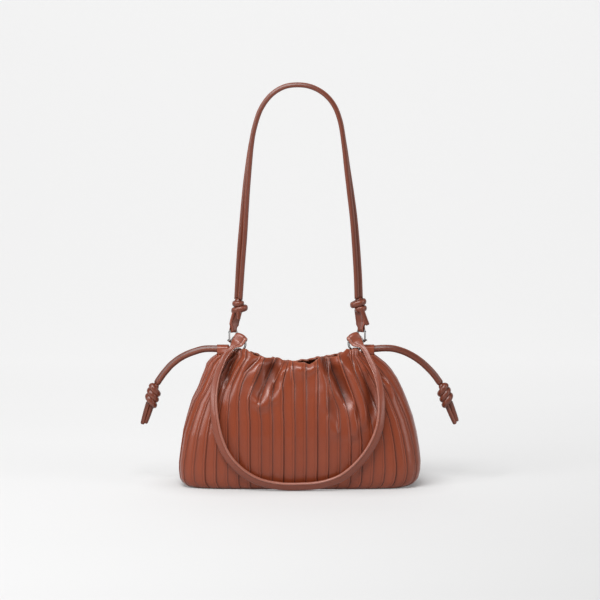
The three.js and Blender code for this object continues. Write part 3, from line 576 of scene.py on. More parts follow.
# turn, width, foot, depth: place and width round the wall, the height where a fold starts, and how far it
# stands out, as a share of FOLD_DEPTH
FOLDS = [
    (0.085, 0.016, 0.45, -0.6), (0.118, 0.016, 0.5, 0.75), (0.15, 0.014, 0.56, 0.5),
    (0.182, 0.016, 0.62, -1), (0.212, 0.014, 0.6, 0.6), (0.262, 0.02, 0.7, 0.35), (0.3, 0.012, 0.55, 0.45),
    (0.336, 0.018, 0.4, -0.9), (0.372, 0.016, 0.38, 0.7), (0.405, 0.014, 0.45, -0.4),
    (0.575, 0.016, 0.5, -0.5), (0.615, 0.018, 0.52, 0.7), (0.655, 0.016, 0.56, -0.8),
    (0.695, 0.018, 0.6, 0.5), (0.74, 0.02, 0.62, -0.7), (0.785, 0.018, 0.58, 0.55),
    (0.825, 0.016, 0.52, -0.8), (0.865, 0.018, 0.5, 0.7), (0.91, 0.016, 0.5, -0.5),
]
FOLD_DEPTH = 6
# along, proud, painted shade, painted highlight and wear: across one pleat, how far it stands out, how much
# painted shade darkens it, and how much painted highlight with wear lightens it
PLEAT = np.array([
    (0, -0.25, 1, 0), (0.045, 0.26, 0.58, 0), (0.14, 0.46, 0.24, 0), (0.36, 0.57, 0.04, 0),
    (0.58, 0.6, 0, 0), (0.745, 0.64, 0, 0), (0.79, 0.46, 0.5, 0), (0.835, 0.62, 0.05, 0.1),
    (0.91, 0.66, 0, 0.5), (0.958, 0.6, 0.05, 0.4),
])
PLEATS = 52
TUCK = 1.5
WALL = 2.2
print("tables:", len(OUTLINE), "sections,", len(FOLDS), "folds")

# %% [markdown]
# The plan of the wall at one height is a rounded box. Points are spread evenly along it, so that the pleats
# keep their share of the way round from the base to the mouth and draw together where the purse narrows.


# %% Plan of the wall at every height
HALF_ROUND = 240  # points along half of the way round
LEVELS = np.linspace(0, 1.08, 109)


def half_plan(left, right, depth, square):
    angles = np.linspace(0, math.pi, HALF_ROUND + 1)
    across = np.cos(angles)
    side = np.where(across > 0, left, right)
    x = -np.sign(across) * side * np.abs(across) ** (2 / square)
    y = depth * np.clip(np.sin(angles), 0, 1) ** (2 / square)
    run = np.concatenate([[0], np.cumsum(np.hypot(np.diff(x), np.diff(y)))])
    even = np.linspace(0, run[-1], HALF_ROUND + 1)
    return np.interp(even, run, x), np.interp(even, run, y)


plans = []
for level in LEVELS:
    left, right, depth, square = (np.interp(level, OUTLINE[:, 0], OUTLINE[:, k]) for k in range(1, 5))
    x, y = half_plan(left * BODY_WIDTH / 2, right * BODY_WIDTH / 2, depth * BODY_DEPTH / 2, square)
    plans.append(np.stack([np.concatenate([x, x[-2::-1]]), np.concatenate([-y, y[-2::-1]])], axis=1))
PLAN = np.array(plans)
print("plan table:", PLAN.shape)

# %% [markdown]
# A point of the wall is given by its turn, from 0 to 1 round the plan, its height, and how far it stands out.
# The direction it stands out in is square to the plan there. `rise` is a soft step from 0 to 1.

# %% A point of the wall
NEAR = 0.004  # a short way along the plan, for its direction


def plan_point(turn, height):
    level = np.clip(height / SIDE_HEIGHT, 0, 1.079) * 100
    place = (turn % 1.0) * 2 * HALF_ROUND
    i, j = level.astype(int), place.astype(int)
    u, v = (level - i)[..., None], (place - j)[..., None]
    low = PLAN[i, j] * (1 - v) + PLAN[i, j + 1] * v
    high = PLAN[i + 1, j] * (1 - v) + PLAN[i + 1, j + 1] * v
    return low * (1 - u) + high * u


def wall_point(turn, height, proud):
    ahead = plan_point(turn + NEAR, height) - plan_point(turn - NEAR, height)
    ahead /= np.linalg.norm(ahead, axis=-1, keepdims=True)
    out = np.stack([ahead[..., 1], -ahead[..., 0]], axis=-1)
    p = plan_point(turn, height) + out * proud[..., None]
    return np.concatenate([p, height[..., None]], axis=-1)


def rise(x, low, high):
    t = np.clip((x - low) / (high - low), 0, 1)
    return t * t * (3 - 2 * t)


# %% [markdown]
# Left alone, the seams would draw together evenly towards the mouth. On the real purse the front is gathered
# unevenly: the seams in the middle stay upright, and those on both sides bend over before they meet the rim.
# So a table gives where each front seam lies, and every point between two seams slides along with them.

# %% Seams of the front
PHASE = 0.55 / PLEATS
FIRST_SEAM = 5
SEAM_HEIGHTS = [0, 30, 60, 85, 100, 115, 130, 145, 160]
# across, in millimetres, at each of the heights above, from left to right
SEAMS = [
    (-90.9, -91, -91, -91, -89.6, -88.7, -85.6, -78.2, -69),
    (-77.2, -77.1, -77.1, -77.1, -77.5, -76.5, -73.3, -66.7, -50),
    (-63.4, -63.2, -63.2, -63.2, -64.5, -63.9, -58, -51.1, -45.6),
    (-49.7, -49.3, -49.3, -49.3, -51.5, -50, -44.7, -38.3, -31.5),
    (-35.9, -35.4, -35.4, -35.4, -36.2, -36, -33, -26, -18.8),
    (-22.2, -21.5, -21.5, -21.5, -22.5, -22.2, -23.3, -19.3, -14.2),
    (-8.4, -7.6, -7.6, -7.6, -8.4, -8.3, -8.2, -10.5, -11.5),
    (5.3, 6.3, 6.3, 6.3, 6.2, 6.1, 5.9, 5.8, 5.7),
    (19.1, 20.2, 20.2, 20.2, 20, 20.4, 20.7, 20.5, 20.4),
    (32.8, 34.1, 34.1, 33.9, 34.1, 34.9, 35, 32.1, 28.9),
    (46.5, 48, 48, 48.1, 46.5, 40.1, 36.1, 33.7, 32.6),
    (60.3, 61.9, 61.9, 59.9, 56.9, 52.2, 45.7, 38.8, 35.5),
    (73.8, 75, 75, 72.3, 69.2, 64.9, 59, 53.1, 47.4),
    (87.8, 89.7, 89.7, 87.3, 82.7, 78, 72.3, 67.2, 63.7),
]
heights = np.arange(0, 181, 5.0)
pulls = []
for k, seam in enumerate(SEAMS):
    rest = plan_point(np.full(len(heights), (FIRST_SEAM + k + 0.9) / PLEATS + PHASE), np.maximum(heights, 8.0))
    pulls.append(np.interp(heights, SEAM_HEIGHTS, seam) - rest[:, 0])
fade = [0.0, 0.15, 0.4, 0.75]
pulls = [pulls[0] * f for f in fade] + pulls + [pulls[-1] * f for f in fade[::-1]]
PULL = np.array(pulls)
print("pull table:", PULL.shape, "largest pull", round(float(abs(PULL).max()), 1), "mm")

# %% [markdown]
# How far a point slides is read between the table's seams and heights. The turn that this takes is found in
# three steps, each of which uses the slope of the plan where the point now is.


# %% Slide a point with its seams
def slid(turn, height):
    place = np.clip((turn - PHASE) * PLEATS - 0.9 - FIRST_SEAM + 4, 0, len(PULL) - 1.001)
    level = np.clip(height / 5, 0, 35.9)
    i, j = place.astype(int), level.astype(int)
    u, v = place - i, level - j
    pull = (PULL[i, j] * (1 - u) + PULL[i + 1, j] * u) * (1 - v)
    pull += (PULL[i, j + 1] * (1 - u) + PULL[i + 1, j + 1] * u) * v
    goal = plan_point(turn, height)[..., 0] + pull
    moved = turn.copy()
    for _ in range(3):
        slope = (plan_point(moved + NEAR, height) - plan_point(moved - NEAR, height))[..., 0] / (2 * NEAR)
        step = (goal - plan_point(moved, height)[..., 0]) / np.where(abs(slope) < 150, np.inf, slope)
        moved = moved + np.where(pull == 0, 0, step)
    return moved


# %% [markdown]
# The puffs and hollows of the gathered leather are drawn on the front as strokes, as a sculptor would with a
# brush. Each point of a stroke says where it is, how wide the brush is there and how far it pushes.

# %% Strokes on the front
# across, height, width, push: in millimetres, push is negative for a hollow
STROKES = [
    [(-25.4, 159.3, 6.4, -3.5), (-33.3, 146.3, 5.4, -4.5), (-41.9, 131.5, 3.3, -4),
     (-47.6, 118.8, 2, -2.5), (-50.2, 110.1, 1.2, -1)],
    [(-46.6, 147.6, 3.3, -1.5), (-51.5, 132.9, 3.7, -2.5), (-53.5, 123.5, 3.3, -2.5), (-52.2, 115.4, 2, -1.5)],
    [(-16.8, 157.6, 3, -2.5), (-20.1, 152.3, 2.3, -1.5)],
    [(-29.4, 136.9, 2.3, -1.5), (-32.7, 122.1, 2.7, -2), (-34, 114.1, 1.7, -1)],
    [(-49.2, 160.3, 1.7, -2), (-60.5, 152.9, 1.7, -2), (-67.1, 144.9, 1.3, -1)],
    [(-81.7, 168.9, 2.9, -3), (-88.9, 149.2, 3.3, -4), (-91.9, 132.6, 2.5, -2.5)],
    [(29.6, 160.1, 3, -3), (32.6, 151.1, 2.6, -3.5), (34.1, 142.9, 1.3, -1.5)],
    [(41.5, 145.9, 3.7, -3), (48.9, 132.4, 4.5, -4.5), (55.9, 117.4, 4.1, -4), (60, 106.9, 2.6, -2)],
    [(69.6, 103.2, 1.6, -1.5), (71.4, 91.9, 1.6, -2), (73.3, 81.5, 1.3, -1.5)],
    [(38.5, 110.7, 3, -1.5), (41.5, 95.7, 3.7, -2.2), (43.7, 84.4, 3, -1.5)],
    [(82.9, 138.4, 3.7, -2), (88.1, 120.4, 4.1, -3), (90.3, 105.4, 3.7, -3), (88.1, 88.2, 3, -1.5)],
    [(95.5, 142.9, 2.2, -3), (103.7, 135.4, 2.2, -3)],
    [(-57.8, 126.2, 2, 1), (-59.8, 117.5, 2, 1.6), (-55.8, 110.1, 2.2, 2.2), (-52.5, 106.1, 2, 2)],
    [(-38, 138.2, 4, 1.5), (-40.6, 126.2, 4.7, 2.5), (-40, 115.4, 4, 2.5), (-45.3, 105.4, 3.6, 2.8),
     (-49.2, 102.1, 2.6, 2.2)],
    [(-18.8, 150.3, 3, 1.5), (-24.7, 140.9, 3, 1.5), (-29.4, 134.2, 1.7, 0.6)],
    [(-25.4, 124.8, 2.3, 1.2), (-30.7, 114.8, 2.7, 1.8), (-34.7, 109.4, 2, 1.2)],
    [(-13.5, 144.2, 1.7, 1.2), (-14.8, 135.5, 1.7, 1)],
    [(-67.1, 161, 4, 1.5), (-68.4, 152.3, 4.7, 1.5)],
    [(-55.8, 147.6, 4, 1.5), (-59.1, 139.6, 4.7, 1.2)],
    [(-37.3, 159, 4, 1.5), (-43.3, 152.3, 4, 1.2)],
    [(-0.9, 152.3, 6, 2), (-3.6, 142.9, 6, 1.5)],
    [(12.3, 152.9, 5.4, 1.8), (10.3, 146.3, 5.4, 1)],
    [(25.2, 123.4, 3, 1), (28.9, 110.7, 3, 1.6), (31.5, 99.4, 2.2, 1.2)],
    [(41.5, 135.4, 3.7, 1), (44.4, 121.9, 3.7, 1.2), (47.4, 110.7, 3, 0.8)],
    [(51.8, 154.9, 3.4, 1.5), (62.9, 142.9, 3.7, 2.2), (71.1, 125.7, 3.4, 2.2), (76.3, 110.7, 3.4, 2.4),
     (78.1, 93.4, 3.4, 3), (76.6, 80.7, 2.8, 2.4)],
    [(58.5, 103.2, 3.7, 1.4), (63.7, 90.4, 4.3, 2.6), (66.6, 77.7, 4, 3.2), (65.5, 67.5, 3, 3)],
    [(36.3, 91.2, 2.6, 1.2), (39.2, 80, 3, 2), (44.4, 70.2, 2.8, 2)],
    [(71.1, 159.4, 2.6, 1.2), (78.5, 147.4, 2.6, 1.4), (85.1, 132.4, 2.2, 1.2), (90.3, 118.9, 1.9, 0.8)],
    [(107.8, 134.7, 2.5, 1.2), (114.9, 116.1, 3.3, 1.5)],
]


def brushed(points):
    """How far all strokes together push each point of the front out."""
    out = np.zeros(points.shape[:-1])
    for stroke in STROKES:
        most = np.zeros_like(out)
        for first, last in zip(stroke, stroke[1:]):
            a, b = np.array(first), np.array(last)
            way = b[:2] - a[:2]
            share = np.clip(((points[..., [0, 2]] - a[:2]) @ way) / (way @ way), 0, 1)
            near = a + share[..., None] * (b - a)
            away = np.hypot(points[..., 0] - near[..., 0], points[..., 2] - near[..., 1])
            push = near[..., 3] * np.exp(-(away / (1.25 * near[..., 2])) ** 2)
            most = np.where(abs(push) > abs(most), push, most)
        out += most
    return out * (points[..., 1] < 0)


print("strokes are drawn with", sum(len(stroke) for stroke in STROKES), "points")

# %% [markdown]
# The deep folds run down from the mouth all the way round. Each starts at its own height and reaches its full
# depth at the rim.


# %% Folds of the mouth
def folds(turn, height):
    level = height / SIDE_HEIGHT
    out = np.zeros_like(turn)
    for place, width, foot, depth in FOLDS:
        away = (turn - place) / width
        out += depth * FOLD_DEPTH * rise(level, foot, 1.0) * np.exp(-away * away)
    return out


print("deepest fold:", FOLD_DEPTH * max(abs(depth) for _, _, _, depth in FOLDS), "mm")

# %% [markdown]
# The wall is a grid with one column for each point of each pleat, and rows from just above the floor to the
# rim. Every point slides along with its seams, and the folds of the mouth move it out or in.

# %% Columns and rows of the wall
ROWS = 80
FOOT = 1.3  # millimetres above the floor, so that the wall's cut edge stands clear of it
PER_PLEAT = len(PLEAT)
columns = PLEATS * PER_PLEAT
pleat_of = np.repeat(np.arange(PLEATS), PER_PLEAT)
along = np.tile(PLEAT[:, 0], PLEATS)
turns = (pleat_of + along) / PLEATS + PHASE
TURN, LEVEL = np.meshgrid(turns, np.linspace(0, 1, ROWS + 1) ** 0.92, indexing="ij")
at_rim = slid(turns, np.full(columns, 160.0)) % 1.0
waves = 0.5 * np.sin(2 * math.pi * at_rim * 26 + 1.0) + 0.4 * np.sin(2 * math.pi * at_rim * 41)
away_from_ends = rise(np.minimum(at_rim, 1 - at_rim), 0.05, 0.08) * rise(abs(at_rim - 0.5), 0.05, 0.08)
top = np.interp(at_rim, RIM[:, 0], RIM[:, 1]) * SIDE_HEIGHT + waves * away_from_ends
HEIGHT = FOOT + (top[:, None] - FOOT) * LEVEL
MOVED = slid(TURN, HEIGHT)
big = folds(MOVED % 1.0, HEIGHT)
plain = wall_point(MOVED, HEIGHT, big)
print("wall grid:", HEIGHT.shape, "rim from", round(float(top.min())), "to", round(float(top.max())), "mm")

# %% [markdown]
# Seven things move a point in or out: the folds, the strokes, smoothed so that they leave no sharp glints,
# the pleat's own profile, a tilt that differs from pleat to pleat, the puff of each pleat where it is
# gathered, a slow sag of the soft leather, and the rolled edge of the mouth.

# %% Surface of the wall
STROKE_DEPTH = 2.2
brush = STROKE_DEPTH * brushed(plain)
for _ in range(5):
    brush = (np.roll(brush, 1, axis=0) + 2 * brush + np.roll(brush, -1, axis=0)) / 4
    brush[:, 1:-1] = (brush[:, :-2] + 2 * brush[:, 1:-1] + brush[:, 2:]) / 4
gathered = rise(HEIGHT, 105.0, 155.0)
share = along[:, None]
behind = np.where(plain[..., 1] > 0, 1.0, 0.55)
unlike = 0.75 + 0.5 * np.sin(pleat_of * 2.4)[:, None]
puffs = behind * unlike * 1.6 * gathered * (np.sin(math.pi * np.clip(share / 0.79, 0, 1)) - 0.5)
tilt = 1.4 * np.sin(pleat_of * 1.9 + 0.7)[:, None] * (share - 0.4) * (1 - 0.5 * gathered)
tucks = tilt + np.tile(PLEAT[:, 1], PLEATS)[:, None] * TUCK * (0.6 + 0.4 * rise(HEIGHT, 0, 12))
sag = 0.5 * np.sin(2 * math.pi * (MOVED * 5.3 + 0.1)) * np.sin(HEIGHT / 31.0 + 5 * MOVED)
below = top[:, None] - HEIGHT
roll = 1.1 * np.exp(-((below - 8) / 5) ** 2) - 2.4 * np.exp(-(below / 3.2) ** 2)
WALL_POINTS = wall_point(MOVED, HEIGHT, tucks + puffs + sag + big + brush + roll * away_from_ends[:, None])
print("strokes move the wall by", round(float(brush.min()), 1), "to", round(float(brush.max()), 1), "mm")

# %% [markdown]
# The leather is painted darker in the seams and hollows, as painted shade, and lighter at the pleats' edges and
# the rim, as a painted highlight with some wear. The shell gets its thickness inwards from a Solidify modifier,
# whose inner side is lining, but for a facing of the same leather as the wall that is turned in at the mouth.

# %% Wall
FACING = 10  # rows
PAINTED_SHADE = np.tile(PLEAT[:, 2], PLEATS)[:, None] * (0.8 + 0.2 * gathered)
# Painted shade in the hollows of the folds and strokes.
PAINTED_SHADE = PAINTED_SHADE + np.clip(-(big + brush) / 14.0, 0, 0.5)
# Painted highlight with some wear on the pleats' edges where gathered, and on the rim.
PAINTED_HIGHLIGHT_AND_WEAR = np.tile(PLEAT[:, 3], PLEATS)[:, None] * (0.05 + 0.5 * gathered) + 0.5 * np.exp(-(below / 1.2) ** 2)
bag = wrap(
    "pleated_wall", columns, ROWS, lambda i, j: at(*WALL_POINTS[i, j]),
    [wall_leather, lining_finish, wall_leather, wall_leather],
    lambda i, j: (min(PAINTED_SHADE[i, j], 1.0), min(PAINTED_HIGHLIGHT_AND_WEAR[i, j], 1.0)), ends=False,
    paint=lambda i, j: 2 if j >= ROWS - FACING else 0,
)
thick = bag.modifiers.new("wall", "SOLIDIFY")
thick.thickness = WALL * MM
thick.offset = -1
thick.material_offset = 1
stands_for(bag, "leather", "bag_body")

# %% [markdown]
# ## Base
# The base is a stiff flat panel of the same leather inside the lower edge of the wall, with a line of
# stitching pressed round it. A circle is moved onto the plan, given its thickness and inset for the line.

# %% Base panel
BASE_THICK = 2.4
BASE_SIDES = 128
bm = bmesh.new()
bmesh.ops.create_circle(bm, cap_ends=True, segments=BASE_SIDES, radius=1)
base_turns = np.arange(BASE_SIDES) / BASE_SIDES
outline = wall_point(base_turns, np.zeros(BASE_SIDES), np.full(BASE_SIDES, -WALL - 0.35))
for v, p in zip(bm.verts, outline):
    v.co = at(p[0], p[1], 0)
face = list(bm.faces)
for width, depth in ((5, 0), (0.8, -0.4), (0.8, 0.4)):
    bmesh.ops.inset_region(bm, faces=face, thickness=width * MM, depth=depth * MM, use_even_offset=True)
out = bmesh.ops.extrude_face_region(bm, geom=list(bm.faces))
top_side = [v for v in out["geom"] if isinstance(v, bmesh.types.BMVert)]
bmesh.ops.translate(bm, vec=(0, 0, BASE_THICK * MM), verts=top_side)
bmesh.ops.recalc_face_normals(bm, faces=bm.faces)
base = finished("base", bm, [wall_leather])
stands_for(base, "leather", "base_panel")

# %% [markdown]
# ## Channel ends
# The drawstring leaves the purse through a short sleeve of leather at each end of the mouth. It is the corner
# of the wall folded over the cord and sewn, so it widens down into the wall and is cut off straight. Half of
# the rows make the bore round the cord, and the others come back along the outside.

# %% Channel ends
SLEEVE_HEIGHT = 170.05
SLEEVE_LENGTH = 14.5
BORE, SLEEVE = 4.85, 5.9  # inner and outer radius
SLEEVE_FOOT = -8.2


def channel_end(side, sign, tip):
    sides, rows = 32, 14

    def place(i, j):
        angle = 2 * math.pi * i / sides
        if j <= rows // 2:
            share, reach = j / (rows // 2), BORE
        else:
            share, reach = (rows - j) / (rows // 2 - 1), SLEEVE
        x = tip - share * SLEEVE_LENGTH
        y = reach * math.cos(angle)
        z = reach * math.sin(angle)
        if reach == SLEEVE:
            low = max(0.0, -math.sin(angle)) ** 0.5
            y *= 1 + 0.25 * share + 0.9 * low * min(1.0, 0.35 + share)
            z = max(z - 3.2 * low, SLEEVE_FOOT) if z < 0 else z * 0.93
            x -= 3.5 * max(0.0, share - 0.5) * (1 - math.sin(angle))
        return at(sign * x, y, SLEEVE_HEIGHT + z)

    def marks(i, j):
        # Painted shade along the sleeve's cut end, and a little painted highlight with wear on its outer lip.
        return 0.45 if j in (0, rows) else 0.0, 0.12 if j in (rows - 1, rows) else 0.0

    return wrap(f"drawstring_sleeve_{side}", sides, rows, place, [wall_leather], marks, ends=False)


for side, sign, tip in (("left", -1, 103.95), ("right", 1, 93.0)):
    sleeve = channel_end(side, sign, tip)
    stands_for(sleeve, "leather", f"channel_end_{side}")

# %% [markdown]
# ## Rings
# A ring is a plain torus of polished metal: a small circle, spun once round the ring's middle. It stands
# nearly upright, turned a little outwards, because the handle and the clip pull it that way.

# %% Places of the rings
RING_RADIUS = 9.8
RING_WIRE = 2.8
RING_YAW = math.radians(25)
RING_CENTRE = {"left": (-76.95, -6, 177.4), "right": (69.45, -6, 178.4)}
SIGN = {"left": -1, "right": 1}


def ring_axes(side):
    sign = SIGN[side]
    out = Vector((sign * math.cos(RING_YAW), math.sin(RING_YAW), 0))
    front = Vector((sign * math.sin(RING_YAW), -math.cos(RING_YAW), 0))
    return out, front


def ring_point(side, degrees):
    out, front = ring_axes(side)
    angle = math.radians(degrees)
    radial = out * math.sin(angle) + UP * math.cos(angle)
    tangent = out * math.cos(angle) - UP * math.sin(angle)
    return at(*RING_CENTRE[side]) + radial * (RING_RADIUS * MM), radial, tangent, front


print("rings at", RING_CENTRE)

# %% [markdown]
# A ring is a small circle spun once round. It is made flat and then turned to face the way its mouth end does.

# %% Rings
for side in SIGN:
    bm = bmesh.new()
    bmesh.ops.create_circle(bm, segments=20, radius=RING_WIRE / 2 * MM)
    bmesh.ops.rotate(bm, verts=bm.verts, matrix=Matrix.Rotation(math.pi / 2, 3, "X"))
    bmesh.ops.translate(bm, verts=bm.verts, vec=(RING_RADIUS * MM, 0, 0))
    wire = bm.verts[:] + bm.edges[:]
    bmesh.ops.spin(bm, geom=wire, axis=(0, 0, 1), angle=2 * math.pi, steps=64, use_merge=True)
    bmesh.ops.remove_doubles(bm, verts=bm.verts, dist=1e-6)
    bmesh.ops.recalc_face_normals(bm, faces=bm.faces)
    out, front = ring_axes(side)
    turned = UP.rotation_difference(front).to_matrix().to_4x4()
    bmesh.ops.transform(bm, matrix=Matrix.Translation(at(*RING_CENTRE[side])) @ turned, verts=bm.verts)
    ring = finished(f"round_ring_{side}", bm, [silver_finish])
    stands_for(ring, "silver", f"ring_{side}")

# %% [markdown]
# ## Flat straps
# The handle, the tabs and the ring loops are flat straps with a rounded section. Along one edge runs a
# groove, where the strap is stitched, and a thick lip beyond it. The edges are painted in a lighter tone, as
# edges of good straps are, so the faces of the lip and of the other edge take another finish.

# %% Strap helper
# across, through: shares of half the width and half the thickness
STRAP_SECTION = [
    (-0.88, -0.94), (-0.6, -1), (-0.2, -1), (0.2, -1), (0.5, -0.94), (0.56, -0.66), (0.62, -0.98),
    (0.76, -1.1), (0.91, -0.92), (1, 0), (0.91, 0.92), (0.76, 1.1), (0.62, 0.98), (0.56, 0.66), (0.5, 0.94),
    (0.2, 1), (-0.2, 1), (-0.6, 1), (-0.88, 0.94), (-0.97, 0.6), (-1, 0), (-0.97, -0.6),
]
# the painted faces of the section, and how far across its groove lies
LIP, OTHER_EDGE, GROOVE = range(6, 12), 18, 0.56


def flat_strap(name, sections, finishes, widths, thick, crown=0.12):
    """A section is its centre, its width direction, its thickness direction, and how it curves across."""
    rows = len(sections) - 1
    count = len(STRAP_SECTION)

    def place(i, j):
        centre, wide, through, curve = sections[j]
        a, b = STRAP_SECTION[i]
        half = a * widths(j / rows) / 2 * MM
        swell = (1 + crown * (1 - a * a)) * (thick(j / rows) if callable(thick) else thick)
        return centre + wide * half + through * (b * swell / 2 * MM) + curve * half * half

    def marks(i, j):
        across = STRAP_SECTION[i][0]
        # Painted shade in the stitched groove and along the other edge.
        return (0.8 if across == GROOVE else 0.25 if across == -0.88 else 0.0), 0.0

    def paint(i, j):
        return 1 if i in LIP or i >= OTHER_EDGE else 0

    return wrap(name, count, rows, place, finishes, marks, paint=paint)


print("strap section has", len(STRAP_SECTION), "points")

# %% [markdown]
# ## Handle
# The handle is one long strap. Each end is folded over a ring from the front and sewn to its own back, and
# between them it hangs in a U before the wall, leaning so that its inner edge shows. Its line is that of the
# CAD model, with the two folds added.

# %% Route of the handle
HANDLE = [
    (-83.4, -15.2, 175), (-88, -18.6, 169.4), (-93.6, -22.4, 163.4), (-98.6, -26.4, 155.2),
    (-104, -30.6, 141.6), (-106.9, -35.7, 125.1), (-107.3, -42.3, 107.1), (-105, -48.5, 88.3),
    (-99.6, -52.6, 65.4), (-89.5, -54.8, 43.3), (-73, -55.8, 25.3), (-51.7, -55.8, 12.4),
    (-25.8, -55.8, 6.5), (0.6, -55.8, 5.9), (26.3, -55.8, 8.2), (50.7, -55.8, 16.7), (72.1, -55.8, 34.3),
    (88, -54.2, 55.6), (97.5, -51, 77.7), (101, -45.1, 102.2), (100.4, -38.8, 123.4), (95.2, -30.5, 145.6),
    (88.4, -24.8, 157.8), (82.8, -19.8, 167), (78.6, -16.2, 173.6),
]
HANDLE_WIDTH = 11.5
HANDLE_LEAN = math.radians(30)
FOLD_TILT = 28


def fold_points(side):
    """The fold over the ring, from behind it over the wire to the front."""
    centre, radial, tangent, front = ring_point(side, -FOLD_TILT)
    reach = (RING_WIRE / 2 + 1.3) * MM
    points = [centre - radial * (13 * MM) + front * (2.6 * MM)]
    points.append(centre - radial * (7 * MM) - front * (reach * 0.5))
    for degrees in (-165, -125, -90, -55, -15):
        angle = math.radians(degrees)
        points.append(centre + front * (reach * math.cos(angle)) - radial * (reach * math.sin(angle)))
    points.append(centre - radial * (6 * MM) + front * (4.4 * MM))
    return points, tangent, radial


folds_over = {side: fold_points(side) for side in SIGN}
left_points, right_points = folds_over["left"][0], folds_over["right"][0]
handle_line = smooth_line(left_points + [at(*p) for p in HANDLE] + right_points[::-1], 300)
print("handle is", round(sum((b - a).length for a, b in zip(handle_line, handle_line[1:])) * 1000), "mm long")

# %% [markdown]
# The folded ends are wide and thin, and narrow to a neck just below the ring; from there the strap widens
# and thickens towards the middle of the U. It turns from lying flat on the ring to hanging with a lean, and
# where it wraps the round wire it is curved across.

# %% Handle
# near, width and near, thickness: near is the share of the handle's length from its nearer end
HANDLE_WIDTHS = np.array([
    (0, 8), (0.02, 15), (0.042, 17.5), (0.056, 15.5), (0.069, 6.6), (0.09, 6.6), (0.12, 7.6), (0.16, 8.8),
    (0.22, 10.4), (0.28, HANDLE_WIDTH),
])
HANDLE_THICKNESS = np.array([(0, 1.6), (0.05, 1.8), (0.075, 2.6), (0.12, 3.1)])


def handle_width(share):
    return float(np.interp(min(share, 1 - share), HANDLE_WIDTHS[:, 0], HANDLE_WIDTHS[:, 1]))


def handle_thick(share):
    return float(np.interp(min(share, 1 - share), HANDLE_THICKNESS[:, 0], HANDLE_THICKNESS[:, 1]))


sections = []
for k, (centre, ahead) in enumerate(zip(handle_line, tangents(handle_line))):
    share = k / (len(handle_line) - 1)
    near = min(share, 1 - share)
    inwards = ahead.cross(BACK).normalized()
    angle = HANDLE_LEAN * float(rise(np.array(near), 0.08, 0.24))
    hanging = inwards * math.cos(angle) + FRONT * math.sin(angle)
    fold = folds_over["left" if share < 0.5 else "right"]
    turned = float(rise(np.array(near), 0.060, 0.095))
    wide = (-fold[1]).lerp(hanging, turned)
    wide = (wide - ahead * wide.dot(ahead)).normalized()
    inner = (HANDLE_WIDTH - handle_width(share)) / 2 * MM * float(rise(np.array(near), 0.08, 0.14))
    curve = -fold[2] * (0.28 / (RING_RADIUS * MM)) * (1 - float(rise(np.array(near), 0.045, 0.075)))
    sections.append((centre + wide * inner, wide, ahead.cross(wide), curve))

handle = flat_strap("handle_strap", sections, [strap_leather, edge_paint], handle_width, handle_thick)
stands_for(handle, "leather", "handle")

# %% [markdown]
# ## Shoulder strap
# Two rolled cords lie together and slowly turn about each other. Their common line and the angle between
# them come from the CAD model. Each cord shows its seam, which is why they read as a pair in the photo.

# %% Route of the shoulder strap
STRAP_DIAMETER = 6.3
STRAP = [
    (-77, 232.4), (-73.9, 279.8), (-71.1, 315.3), (-66.9, 368.9), (-63.6, 400.6), (-60.6, 424.3),
    (-56, 448), (-47.9, 470.4), (-35.2, 487), (-19.2, 496.6), (-1.5, 498.9), (14.5, 496.3), (30, 487.8),
    (41.7, 474.5), (49.4, 455.7), (54.9, 424.6), (58.8, 394.6), (62.3, 369.1), (67.1, 330.9), (72, 266.6),
    (73.4, 233.4),
]
# along, angle: share of the way, and 0 side by side or 90 one behind the other
STRAP_TURN = np.array([(0, 45), (0.12, 32), (0.25, 60), (0.34, 88), (0.66, 88), (0.78, 62), (0.9, 50), (1, 45)])
STRAP_STEPS = 170
STRAP_GAP = 0.1
strap_line = smooth_line([at(x, 0, z) for x, z in STRAP], STRAP_STEPS)
print("strap rises to", round(max(point.z for point in strap_line), 4))

# %% [markdown]
# Each cord keeps half a diameter and half the gap away from the common line, on opposite sides of it.

# %% Shoulder strap
for name, sign in (("front", 1), ("back", -1)):
    line = []
    for k, (centre, ahead) in enumerate(zip(strap_line, tangents(strap_line))):
        angle = math.radians(float(np.interp(k / STRAP_STEPS, STRAP_TURN[:, 0], STRAP_TURN[:, 1])))
        side_way = BACK.cross(ahead).normalized()
        away = (STRAP_DIAMETER + STRAP_GAP) / 2 * sign * MM
        line.append(centre + side_way * (away * math.cos(angle)) - BACK * (away * math.sin(angle)))
    cord = rolled_cord(f"strap_{name}", line, STRAP_DIAMETER / 2 * MM, (1.2, 3.6), 20, round_ends=False)
    stands_for(cord, "rolled_leather", f"strap_cord_{name}")

# %% [markdown]
# ## Strap ends
# Below each foot of the strap its cords are tied in a knot. From the front it shows two turns, one of them
# wider and aslant. A flat tab comes out of the knot, goes round the top of the clip and back up, and one
# short end of cord hangs beside it.

# %% Places of the strap's ends
KNOT_TOP = 0.6
KNOT_HEIGHT = 14
STRAP_KNOT = 17
CLIP_YAW = math.radians(37)
CLIP_PLACE = {"left": (-83.71, -4.42, 186.52), "right": (76.74, -4.1, 186.97)}
CLIP_HEIGHT = 17
CLIP_BAR = 2.2
TAB_WIDTH = 13.6
TAB_NECK = 8.2
# shift, slant, drop: where each short end starts and how far it goes sideways and down
TAIL = {"left": (1.6, -0.4, 10), "right": (2.5, 8, 18)}


def strap_foot(side):
    first, second = (STRAP[0], STRAP[1]) if side == "left" else (STRAP[-1], STRAP[-2])
    foot, above = at(first[0], 0, first[1]), at(second[0], 0, second[1])
    return foot, (foot - above).normalized()


print("strap's feet:", [tuple(round(c, 4) for c in strap_foot(side)[0]) for side in SIGN])

# %% [markdown]
# Each turn of the knot is a closed loop of flattened cord, laid round the strap's line, and a short thick core
# inside them fills the knot.

